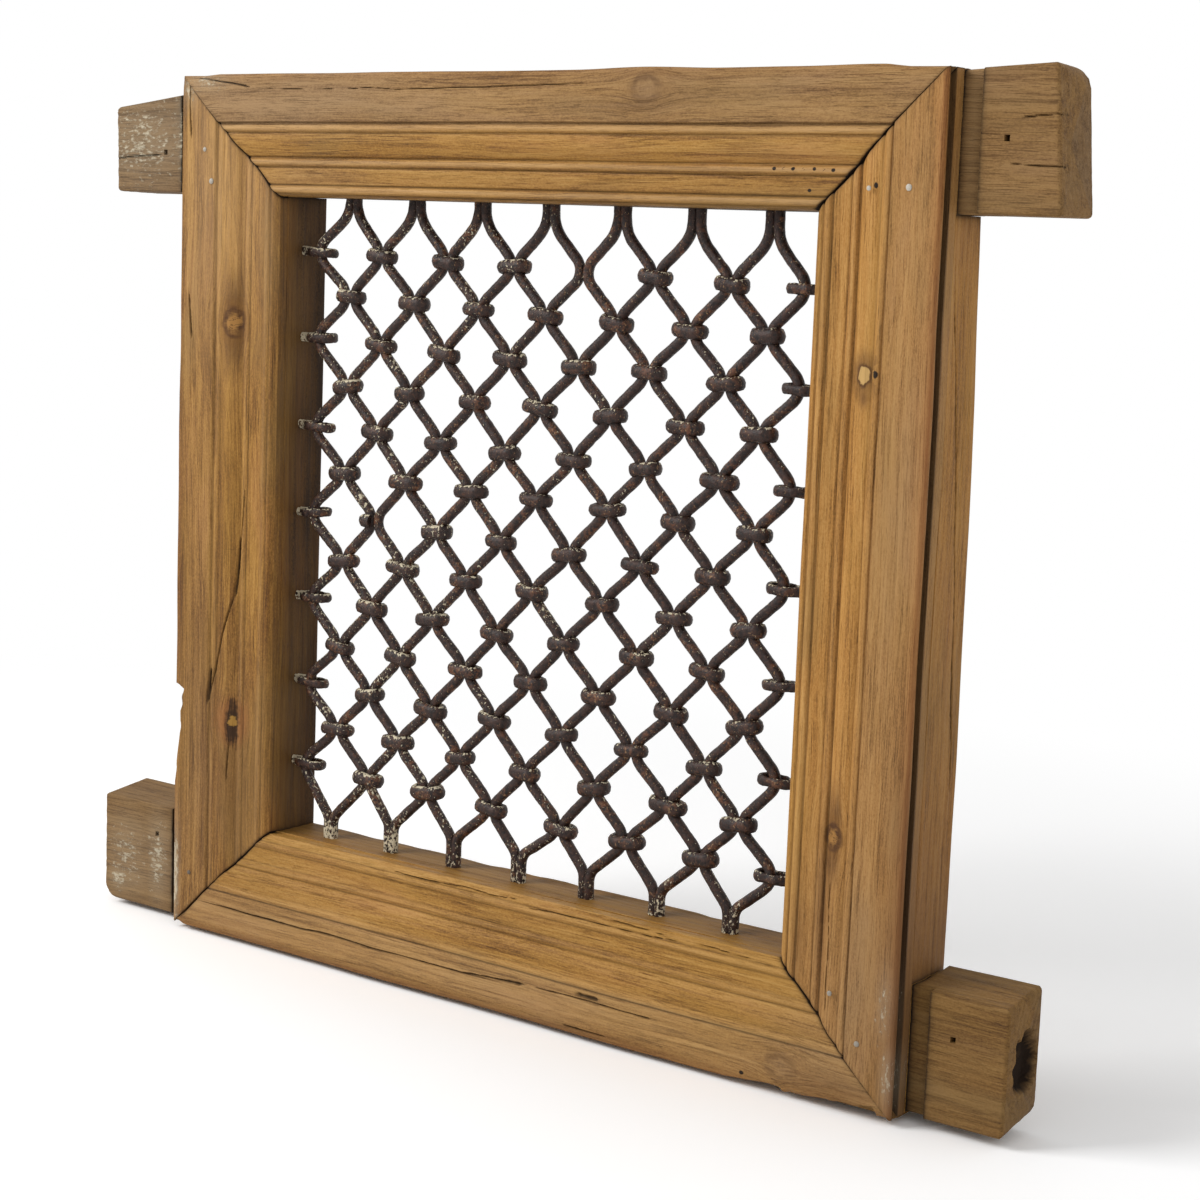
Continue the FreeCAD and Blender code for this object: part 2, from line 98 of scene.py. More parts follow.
class Pin:
    """A node's output that can stand in a Python expression."""

    def __init__(self, graph: "Graph", socket: bpy.types.NodeSocket) -> None:
        """Keep the graph and the socket."""
        self.graph = graph
        self.socket = socket

    def __add__(self, other: Term) -> "Pin":
        """Sum."""
        return self.graph.math("ADD", self, other)

    def __radd__(self, other: Term) -> "Pin":
        """Sum, other way round."""
        return self.graph.math("ADD", other, self)

    def __sub__(self, other: Term) -> "Pin":
        """Difference."""
        return self.graph.math("SUBTRACT", self, other)

    def __rsub__(self, other: Term) -> "Pin":
        """Difference, other way round."""
        return self.graph.math("SUBTRACT", other, self)

    def __mul__(self, other: Term) -> "Pin":
        """Product."""
        return self.graph.math("MULTIPLY", self, other)

    def __rmul__(self, other: Term) -> "Pin":
        """Product, other way round."""
        return self.graph.math("MULTIPLY", other, self)

    def __truediv__(self, other: Term) -> "Pin":
        """Quotient."""
        return self.graph.math("DIVIDE", self, other)

    def __pow__(self, other: Term) -> "Pin":
        """Power."""
        return self.graph.math("POWER", self, other)

    def __abs__(self) -> "Pin":
        """Size without sign."""
        return self.graph.math("ABSOLUTE", self)

    def larger(self, other: Term) -> "Pin":
        """The larger of two values."""
        return self.graph.math("MAXIMUM", self, other)

    def smaller(self, other: Term) -> "Pin":
        """The smaller of two values."""
        return self.graph.math("MINIMUM", self, other)

    def fraction(self) -> "Pin":
        """What stands after the decimal point."""
        return self.graph.math("FRACT", self)

    def moved(self, step: Term) -> "Pin":
        """This vector plus a step."""
        return self.graph.vector("ADD", self, step)

    def stretched(self, factors: Term) -> "Pin":
        """This vector times a factor for each axis."""
        return self.graph.vector("MULTIPLY", self, factors)

    def scaled(self, factor: Term) -> "Pin":
        """This vector times one number."""
        return self.graph.add("ShaderNodeVectorMath", {"operation": "SCALE"}, {0: self, "Scale": factor})

    def part(self, axis: int) -> "Pin":
        """One of the three numbers of this vector."""
        return self.graph.add("ShaderNodeSeparateXYZ", {}, {0: self}, axis)

    def ease(self, low: float, high: float) -> "Pin":
        """Rise softly from 0 at low to 1 at high."""
        settings = {"interpolation_type": "SMOOTHSTEP"}
        return self.graph.add("ShaderNodeMapRange", settings, {0: self, 1: low, 2: high})

    def fade(self, low: float, high: float) -> "Pin":
        """Fall softly from 1 at low to 0 at high."""
        return 1 - self.ease(low, high)

    def blend(self, first: Term, second: Term) -> "Pin":
        """Mix two colours, the first where this value is 0 and the second where it is 1."""
        settings = {"data_type": "RGBA", "clamp_factor": True}
        return self.graph.add("ShaderNodeMix", settings, {0: self, 6: first, 7: second}, 2)

    def under(self, *coats: tuple["Pin", Term]) -> "Pin":
        """This colour with coats laid over it in order.

        Args:
            coats: Mask and colour of each coat.

        Returns:
            The colour on top.
        """
        colour = self
        for mask, coat in coats:
            colour = mask.blend(colour, coat)
        return colour


class Graph:
    """A node tree that grows by one call for each node."""

    def __init__(self, tree: bpy.types.NodeTree) -> None:
        """Keep the tree."""
        self.tree = tree

    def add(
        self,
        kind: str,
        settings: Mapping[str, object] | None = None,
        sockets: Mapping[Union[int, str], Term] | None = None,
        out: Union[int, str] = 0,
    ) -> Pin:
        """Add a node, set it up and feed its sockets.

        Args:
            kind: The node's type.
            settings: The node's own properties; stops are those of a ramp.
            sockets: Values or links for its inputs.
            out: Which output to return.

        Returns:
            The chosen output.
        """
        node = self.tree.nodes.new(kind)
        for name, value in (settings or {}).items():
            if name == "stops":
                self._set_stops(node, value)
            else:
                setattr(node, name, value)
        for key, value in (sockets or {}).items():
            self.feed(node.inputs[key], value)
        return Pin(self, node.outputs[out]) if len(node.outputs) else Pin(self, node.inputs[0])

    def feed(self, socket: bpy.types.NodeSocket, value: Term) -> None:
        """Link a pin to an input, or set its value.

        Args:
            socket: The input.
            value: What it gets.
        """
        if isinstance(value, Pin):
            self.tree.links.new(value.socket, socket)
        else:
            socket.default_value = value

    @staticmethod
    def _set_stops(node: bpy.types.Node, stops: Sequence[tuple[float, Colour]]) -> None:
        """Give a ramp its stops.

        Args:
            node: The ramp.
            stops: Place and colour of each stop, in order.
        """
        elements = node.color_ramp.elements
        while len(elements) < len(stops):
            elements.new(0.5)
        for element, (place, colour) in zip(elements, stops):
            element.position = place
            element.color = colour

    def math(self, operation: str, *terms: Term) -> Pin:
        """Math node on some values in order."""
        return self.add("ShaderNodeMath", {"operation": operation}, dict(enumerate(terms)))

    def vector(self, operation: str, *terms: Term) -> Pin:
        """Vector Math node on some vectors in order."""
        return self.add("ShaderNodeVectorMath", {"operation": operation}, dict(enumerate(terms)))

    def same(self, value: Pin) -> Pin:
        """Vector with one value three times."""
        return self.add("ShaderNodeCombineXYZ", {}, {0: value, 1: value, 2: value})

    def noise(self, place: Pin, detail: float = 2.0, rough: float = 0.5) -> Pin:
        """Noise of unit scale at a place, about 0.5, with finer layers of some strength."""
        sockets = {"Vector": place, "Scale": 1.0, "Detail": detail, "Roughness": rough}
        return self.add("ShaderNodeTexNoise", {}, sockets, 0)

    def attribute(self, name: str) -> Pin:
        """Vector kept on the mesh under a name."""
        return self.add("ShaderNodeAttribute", {"attribute_name": name}, {}, "Vector")


class MaterialGraph(Graph):
    """The node tree of a new material."""

    def __init__(self, name: str) -> None:
        """Start an empty material.

        Args:
            name: The material's name.
        """
        self.material = bpy.data.materials.new(name)
        self.material.use_nodes = True
        self.material.node_tree.nodes.clear()
        super().__init__(self.material.node_tree)

    def finish(self, sockets: Mapping[str, Term], relief: Pin, reach: float) -> bpy.types.Material:
        """Close the tree with a bumped surface.

        Args:
            sockets: Inputs of the surface shader.
            relief: Height of the finest unevenness.
            reach: Height in metres that a relief of 1 stands for.

        Returns:
            The material.
        """
        bump = self.add("ShaderNodeBump", {}, {"Strength": 1.0, "Distance": reach, "Height": relief})
        surface = self.add("ShaderNodeBsdfPrincipled", {}, {**sockets, "Normal": bump})
        self.add("ShaderNodeOutputMaterial", {}, {0: surface})
        return self.material


class KnotKind(Enum):
    """What a round mark in the wood is; the value is what the finish reads."""

    GROWN = 1.0
    PLUG = 2.0
    WORM = 3.0
    FAINT = 4.0
    SCAR = 5.0


@dataclass(frozen=True)
class TeakLayers:
    """Noises of the wood, all but the grain itself read along the grain."""

    grain: Pin
    streak: Pin
    strand: Pin
    fibre: Pin
    pore: Pin
    cloud: Pin
    patch: Pin
    mottle: Pin
    vein: Pin
    late: Pin


@dataclass(frozen=True)
class TeakFinish:
    """Old waxed teak: honey brown, darker streaks along the grain, grey where the weather got at it."""

    pale: Colour = paint(187, 145, 82)
    honey: Colour = paint(163, 119, 57)
    brown: Colour = paint(126, 86, 39)
    deep: Colour = paint(80, 51, 27)
    rosy: Colour = paint(156, 104, 66)
    gold: Colour = paint(176, 133, 62)
    olive: Colour = paint(140, 110, 62)
    # pale of rubbed and bleached wood, also the painted highlight on bead crests
    rubbed: Colour = paint(198, 160, 112)
    grey: Colour = paint(150, 121, 88)
    drab: Colour = paint(104, 78, 52)
    # dark of dirt in joints, cracks and holes, also used for the painted shade of the stile's side quirk
    soil_and_shade: Colour = paint(34, 23, 14)
    shade_and_grime: Colour = paint(52, 36, 23)
    # colour of the reveal's painted shade over darker old finish
    worn: Colour = paint(146, 88, 50)
    stain: Colour = paint(94, 60, 33)
    lime: Colour = paint(206, 196, 172)
    heart: Colour = paint(154, 111, 58)
    plug: Colour = paint(196, 158, 98)
    pith: tuple[float, float] = (0.055, 0.13)
    ring_gap: float = 0.0052
    level: float = 0.5
    roughness: float = 0.56

    def material(self, name: str) -> bpy.types.Material:
        """Build the material.

        Args:
            name: The material's name.

        Returns:
            A material that reads the mesh's grain, soil, marks and knots.
        """
        graph = MaterialGraph(name)
        layers = self._layers(graph)
        soil_and_shade, marks = graph.attribute("soil_and_shade"), graph.attribute("marks")
        dirt, age, lime = soil_and_shade.part(0), soil_and_shade.part(2), marks.part(0)
        colour = self._weathered(graph, layers, age, marks.part(1), marks.part(2))
        # painted shade of the reveal, deepening toward the back, over darker old finish
        colour = self._shaded_and_grimed(layers, soil_and_shade.part(1), colour)
        colour = self._knotted(graph, layers, colour)
        # dirt channel: real dirt, darkened quirks and the painted shade of the stile's side quirk
        colour = (dirt * (1.15 + (layers.patch - 0.5) * 0.8)).blend(colour, self.soil_and_shade)
        crust = graph.noise(layers.grain.stretched((170, 360, 360)), 5, 0.68)
        limed = (crust + lime * 0.42).ease(0.68, 0.9) * lime.ease(0.02, 0.2)
        colour = (limed * 0.7).larger(lime * 0.44 * layers.cloud).blend(colour, self.lime)
        rough = self.roughness + (layers.fibre - 0.5) * 0.2 + age * 0.12 + dirt * 0.2 + limed * 0.15
        relief = layers.streak * 0.3 + layers.strand * 0.25 + layers.fibre * 0.3 + limed * 0.5
        relief = relief - layers.late * 0.2 - layers.pore * 0.3 - layers.vein * 0.25
        sockets = {"Base Color": colour, "Roughness": rough, "Specular IOR Level": 0.16}
        return graph.finish(sockets, relief, 0.6 * MM)

    def _layers(self, graph: Graph) -> TeakLayers:
        """Noises that the colour and the relief are mixed from.

        Args:
            graph: The material's tree.

        Returns:
            The layers.
        """
        grain = graph.attribute("grain")
        sockets = {"Vector": grain.stretched((2.4, 9, 9)), "Scale": 1.0}
        drift = graph.add("ShaderNodeTexNoise", {}, sockets, 1)
        flow = grain.moved(drift.stretched((0.0, 0.022, 0.022)))
        across, through = flow.part(1) - self.pith[0], flow.part(2) - self.pith[1]
        growth = (across * across + through * through) ** 0.5 / self.ring_gap
        thread = graph.noise(flow.stretched((3.4, 210, 210)).moved((3.0, 8.0, 5.0)), 4, 0.62)
        broken = graph.noise(grain.stretched((11, 90, 90)).moved((1.0, 6.0, 2.0)), 2).ease(0.46, 0.58)
        return TeakLayers(
            grain=grain,
            streak=graph.noise(flow.stretched((2.6, 105, 105)), 4, 0.6),
            strand=graph.noise(flow.stretched((7.0, 380, 380)), 3, 0.6),
            fibre=graph.noise(flow.stretched((26, 950, 950)), 3, 0.6),
            pore=graph.noise(flow.stretched((55, 1700, 1700)), 1).ease(0.6, 0.7),
            cloud=graph.noise(grain.stretched((3.6, 15, 15)), 3, 0.55),
            patch=graph.noise(grain.stretched((6.0, 26, 26)).moved((7.0, 3.0, 1.0)), 3, 0.6),
            mottle=graph.noise(grain.stretched((480, 900, 900)), 2, 0.7),
            vein=abs(thread - 0.5).fade(0.004, 0.024) * broken,
            late=growth.fraction() ** 3,
        )

    def _weathered(self, graph: Graph, layers: TeakLayers, age: Pin, worn: Pin, stain: Pin) -> Pin:
        """Colour of the wood with its streaks, greyed by age, rubbed at edges, pale on the bead crests from
        wear and painted highlight, and stained.

        Args:
            graph: The material's tree.
            layers: The wood's noises.
            age: How far the weather got at it.
            worn: How far it is rubbed red, or below 0 rubbed pale; on the bead crests the pale is partly
                painted highlight.
            stain: How far it is stained dark.

        Returns:
            The colour.
        """
        marked = 0.35 + layers.cloud * 1.1
        tone = self.level + ((layers.streak - 0.5) * 0.85 + (layers.strand - 0.5) * 0.5) * marked
        tone = tone + (layers.fibre - 0.5) * 0.44 + (layers.patch - 0.5) * 0.4
        tone = tone + (layers.mottle - 0.5) * 0.55 - layers.vein * 0.2
        tone = tone - layers.late * (layers.streak.ease(0.35, 0.7) * 0.2) - layers.pore * 0.13
        stops = [(0.10, self.deep), (0.33, self.brown), (0.55, self.honey), (0.84, self.pale)]
        colour = graph.add("ShaderNodeValToRGB", {"stops": stops}, {0: tone})
        greyed = tone.ease(0.16, 0.72).blend(self.drab, self.grey)
        return colour.under(
            (layers.patch.ease(0.5, 0.72) * 0.26, self.rosy),
            (layers.cloud.ease(0.48, 0.68) * 0.34, self.gold),
            (layers.cloud.fade(0.34, 0.48) * 0.4, self.olive),
            ((age * (0.4 + layers.patch * 0.9)).smaller(0.85), greyed),
            (worn.larger(0.0) * (0.35 + layers.streak * 0.9), self.worn),
            # pale coat: rubbed wear and bleached patches, and painted highlight on the bead crests
            ((0.0 - worn).larger(0.0) * (0.2 + layers.strand * 1.5), self.rubbed),
            (stain * (0.5 + layers.patch * 0.7), self.stain),
        )

    def _shaded_and_grimed(self, layers: TeakLayers, shade: Pin, colour: Pin) -> Pin:
        """Darken the reveal with uneven painted shade over darker old finish."""
        uneven = (layers.cloud - 0.5) * 1.5 + (layers.streak - 0.5) * 0.8 + (layers.mottle - 0.5) * 0.6
        return (shade * (0.84 + uneven)).blend(colour, self.shade_and_grime)

    def _knotted(self, graph: Graph, layers: TeakLayers, colour: Pin) -> Pin:
        """Draw knots, scars, plugs and worm holes.

        Args:
            graph: The material's tree.
            layers: The wood's noises.
            colour: Colour of the wood.

        Returns:
            The colour with the marks.
        """
        knot = graph.attribute("knot")
        ragged = graph.noise(layers.grain.stretched((190, 190, 190)), 3, 0.6) - 0.5
        along, beside, kind = abs(knot.part(0)), abs(knot.part(1)), knot.part(2)
        far = ((along * 0.8) ** 2 + beside ** 2) ** 0.5 + ragged * 0.8
        kinds = [abs(kind - choice.value).fade(0.15, 0.4) for choice in KnotKind]
        grown, plug, worm, faint, scar = kinds
        halo = far.ease(0.45, 0.85) * far.fade(0.95, 1.5) * layers.strand.ease(0.3, 0.7)
        gash = ((along * 0.34) ** 2 + (beside * 1.1) ** 2) ** 0.5 + ragged * 0.9
        gash = gash + (layers.strand - 0.5) * 1.5
        chip = (along ** 2 + (beside * 1.3) ** 2) ** 0.5 + ragged * 1.8
        smear = beside.fade(0.25, 1.15) * along.fade(1.2, 4.8) * along.ease(0.5, 1.1)
        ring = far.ease(0.36, 0.6) * far.fade(0.78, 1.08) * (0.95 + ragged * 2.4)
        checks = abs(ragged).fade(0.0, 0.03) * far.fade(0.5, 0.8)
        return colour.under(
            (far.fade(0.2, 1.6) * faint * 0.3, self.grey),
            (halo * faint * 0.6, self.deep),
            (far.fade(0.9, 2.4) * scar * 0.45, self.worn),
            (gash.fade(0.5, 1.05) * scar * 0.9, self.soil_and_shade),
            (chip.fade(0.3, 0.6) * scar * 0.75, self.gold),
            (smear * grown * (0.15 + layers.strand), self.deep),
            (far.fade(0.8, 1.7) * grown * 0.45, self.brown),
            (far.fade(0.42, 0.62) * grown * 0.8, self.heart),
            (ring.larger(checks) * grown * 0.85, self.deep),
            (far.fade(1.1, 3.2) * plug * 0.5, self.deep),
            (far.fade(1.0, 1.35) * plug * 0.8, self.deep),
            (far.fade(0.75, 0.95) * plug * 0.92, self.plug),
            (far.fade(0.7, 1.1) * worm, self.soil_and_shade),
        )


@dataclass(frozen=True)
class IronFinish:
    """Wrought iron gone dark brown, with rust and the last flecks of cream paint."""

    dark: Colour = paint(25, 17, 15)
    brown: Colour = paint(62, 41, 33)
    rust: Colour = paint(104, 64, 40)
    tan: Colour = paint(146, 114, 80)
    cream: Colour = paint(208, 196, 168)
    roughness: float = 0.46
    left_zone: tuple[float, float] = (-0.24, 0.10)
    root_zone: tuple[float, float] = (-0.236, -0.229)
    foot_zone: tuple[float, float] = (0.1, 0.2)
    socket_zone: tuple[float, float] = (0.098, 0.116)
    fleck_level: float = 0.685
    fleck_fade: float = 0.035
    top_hold: float = 0.05

    def material(self, name: str) -> bpy.types.Material:
        """Build the material.

        Args:
            name: The material's name.

        Returns:
            A material on Object coordinates.
        """
        graph = MaterialGraph(name)
        place = graph.add("ShaderNodeTexCoord", {}, {}, "Object")
        up = graph.add("ShaderNodeTexCoord", {}, {}, "Normal").part(2)
        scale = graph.noise(place.stretched((330, 330, 330)), 4, 0.65)
        bloom = graph.noise(place.stretched((70, 70, 70)), 3, 0.6)
        fleck = graph.noise(place.stretched((480, 480, 360)), 3, 0.6)
        area = graph.noise(place.stretched((38, 38, 38)).moved((4.0, 9.0, 2.0)), 2)
        speck = graph.noise(place.stretched((620, 620, 480)).moved((2.0, 5.0, 8.0)), 2, 0.6)

        colour = scale.ease(0.33, 0.68).blend(self.dark, self.brown)
        colour = (bloom.ease(0.5, 0.68) * scale.ease(0.4, 0.6) * 0.75).blend(colour, self.rust)
        colour = ((speck + (bloom - 0.5) * 0.3).ease(0.62, 0.72) * 0.75).blend(colour, self.tan)
        left, root = (place.part(0).fade(*zone) for zone in (self.left_zone, self.root_zone))
        foot, socket = (place.part(2).fade(*zone) for zone in (self.foot_zone, self.socket_zone))
        held = fleck + (area - 0.5) * 0.4 + left * 0.065 + foot * 0.03
        held = held + up.ease(0.3, 0.8) * self.top_hold + socket * 0.12 + root * 0.16
        flaked = held.ease(self.fleck_level, self.fleck_level + self.fleck_fade)
        colour = (flaked * 0.92).blend(colour, self.cream)

        rough = self.roughness + (scale - 0.5) * 0.3 + flaked * 0.2
        relief = scale * 0.7 + fleck * 0.3 + flaked * 0.4
        sockets = {"Base Color": colour, "Roughness": rough, "Metallic": 0.1, "Specular IOR Level": 0.3}
        return graph.finish(sockets, relief, 1.0 * MM)


@dataclass(frozen=True)
class NailFinish:
    """Dull nail iron, rubbed pale on the upper nails."""

    pale: Colour = paint(186, 178, 164)
    dull: Colour = paint(128, 118, 106)
    dark: Colour = paint(86, 74, 62)
    top_zone: tuple[float, float] = (0.2, 0.6)
    right_zone: tuple[float, float] = (-0.1, 0.1)
    roughness: float = 0.55

    def material(self, name: str) -> bpy.types.Material:
        """Build the material.

        Args:
            name: The material's name.

        Returns:
            A material on Object coordinates.
        """
        graph = MaterialGraph(name)
        place = graph.add("ShaderNodeTexCoord", {}, {}, "Object")
        spot = graph.noise(place.stretched((420, 420, 420)), 3, 0.6)
        rubbed = place.part(2).ease(*self.top_zone) * 0.7 + place.part(0).ease(*self.right_zone) * 0.5
        colour = (rubbed + (spot - 0.5) * 0.8).blend(self.dark, self.pale)
        colour = (spot.ease(0.5, 0.75) * 0.5).blend(colour, self.dull)
        sockets = {"Base Color": colour, "Roughness": self.roughness + (spot - 0.5) * 0.2}
        return graph.finish(sockets, spot, 0.4 * MM)


class Waves:
    """Smooth seeded noise for shaping meshes."""

    SIDE = 32

    def __init__(self, seed: int) -> None:
        """Draw the lattice from a seed."""
        self.lattice = np.random.default_rng(seed).random((self.SIDE,) * 3)

    def at(self, x: Array, y: Array, z: Array) -> Array:
        """Value from -1 to 1 at points whose lattice step is 1.

        Args:
            x: First coordinate.
            y: Second coordinate.
            z: Third coordinate.

        Returns:
            One value for each point.
        """
        corners, weights = [], []
        for value in np.broadcast_arrays(x, y, z):
            base = np.floor(value).astype(int)
            part = value - base
            corners.append((base % self.SIDE, (base + 1) % self.SIDE))
            weights.append(part * part * (3 - 2 * part))
        total = np.zeros(weights[0].shape)
        for ends in itertools.product((0, 1), repeat=3):
            share = 1.0
            for weight, far in zip(weights, ends):
                share = share * (weight if far else 1 - weight)
            total += share * self.lattice[tuple(pair[far] for pair, far in zip(corners, ends))]
        return total * 2 - 1

    def line(self, place: Array, step: float, lane: float) -> Array:
        """Value along one of many lines, with the lattice step in the unit of the places."""
        return self.at(place / step, place * 0 + lane, place * 0)


@dataclass(frozen=True)
class Moulding:
    """Run moulding of a member's face: widths as shares of the face, depths below the front."""

    arris: float = 3 * MM
    band: float = 0.39
    bead: float = 0.07
    ovolo: float = 0.19
    fillet: float = 0.14
    first_step: float = 2.5 * MM
    second_step: float = 8 * MM
    inner_step: float = 12.5 * MM
    bead_rise: float = 1.8 * MM
    ovolo_rise: float = 2.4 * MM
    nose_rise: float = 1.8 * MM
    quirk: float = 1.3 * MM
    quirk_half: float = 0.55 * MM
    cuts: tuple[float, ...] = (1.0, 0.7, 0.7, 0.9, 0.9, 1.0)
    softness: float = 0.4 * MM

    def edges(self, face: float) -> list[float]:
        """Distances from the outer edge at which one mould ends and the next begins."""
        widths = (self.band, self.bead, self.ovolo, self.bead, self.fillet, self.bead)
        return [float(edge) * face for edge in np.cumsum(widths)]

    def depth(self, across: Array, face: float) -> Array:
        """Depth of the surface below the front plane.

        Args:
            across: Distances from the outer edge, evenly spaced.
            face: Width of the member's face.

        Returns:
            One depth for each distance.
        """
        edges = [*self.edges(face), face]
        depths = [*[self.first_step] * 2, *[self.second_step] * 4, self.inner_step]
        rises = (self.bead_rise, self.ovolo_rise, self.bead_rise, 0.0, self.bead_rise, self.nose_rise)
        depth = np.zeros(len(across))
        for start, end, first, last, rise in zip(edges, edges[1:], depths, depths[1:], rises):
            inside = (across >= start) & (across <= end + 1e-9)
            share = (across[inside] - start) / (end - start)
            depth[inside] = first + (last - first) * share - rise * 4 * share * (1 - share)
        depth += self.quirk * self.hollows(across, face, self.quirk_half)
        round_edge = across < self.arris
        back = self.arris - across[round_edge]
        depth[round_edge] = self.arris - np.sqrt(self.arris ** 2 - back ** 2)
        return self._softened(across, depth)

    def hollows(self, across: Array, face: float, half: float) -> Array:
        """How far each place lies in one of the quirks between moulds, from 0 to 1."""
        pairs = zip(self.cuts, self.edges(face))
        return sum(cut * np.exp(-((across - edge) / half) ** 2) for cut, edge in pairs)

    def crests(self, across: Array, face: float) -> Array:
        """How near a place lies to the top of a bead, from 0 to 1.

        Args:
            across: Distances from the outer edge.
            face: Width of the member's face.

        Returns:
            One value for each distance.
        """
        edges = self.edges(face)
        reach = self.bead * face / 4
        tops = [(low + high) / 2 for low, high in zip(edges[0::2], edges[1::2])]
        return sum(np.exp(-((across - top) / reach) ** 2) for top in tops)

    def _softened(self, across: Array, depth: Array) -> Array:
        """Wear the moulding down by a blur across it.

        Args:
            across: Evenly spaced distances.
            depth: Depth at each.

        Returns:
            The blurred depths.
        """
        step = across[1] - across[0]
        reach = max(1, int(3 * self.softness / step))
        offsets = np.arange(-reach, reach + 1) * step
        kernel = np.exp(-0.5 * (offsets / self.softness) ** 2)
        padded = np.pad(depth, reach, mode="edge")
        soft = np.convolve(padded, kernel / kernel.sum(), mode="valid")
        keep = unit(across / self.arris)
        return depth * (1 - keep) + soft * keep


class Run(Enum):
    """Direction in which a member lies."""

    ACROSS = "across"
    UPRIGHT = "upright"


@dataclass(frozen=True)
class Knot:
    """A round mark in a member's face."""

    along: float
    across: float
    radius: float
    kind: KnotKind = KnotKind.GROWN


@dataclass(frozen=True)
class Loss:
    """A piece broken from a member's outer front edge, sharp at its start and running out to its end."""

    start: float
    end: float
    bite: float
    reach: float


@dataclass(frozen=True)
class Split:
    """A drying crack along a member, its place measured across the face or through the outer side."""

    start: float
    end: float
    place: float
    drift: float
    width: float
    depth: float
    bow: float = 0.0


@dataclass(frozen=True)
class Patch:
    """A soft-edged area on a member."""

    along: float
    across: float
    long: float
    wide: float
    strength: float


def cracks(start: float, *rows: Sequence[float]) -> list[Split]:
    """Cracks from rows of millimetres: both ends counted from the start, then the other sizes."""
    return [Split(*(start + end * MM for end in row[:2]), *(size * MM for size in row[2:])) for row in rows]


def areas(start: float, *rows: Sequence[float]) -> list[Patch]:
    """Patches from rows of millimetres: the first counted from the start, the strength last."""
    return [Patch(start + row[0] * MM, *(size * MM for size in row[1:4]), row[4]) for row in rows]


@dataclass(frozen=True)
class Swell:
    """A stretch of a member's outer edge that stands out."""

    start: float
    end: float
    fade: float
    rise: float


@dataclass
class Shell:
    """A grid of points round and along a member, in its own directions, with what the finish reads."""

    along: Array
    across: Array
    depth: Array
    dirt: Array
    shade: Array
    age: Array
    worn: Array


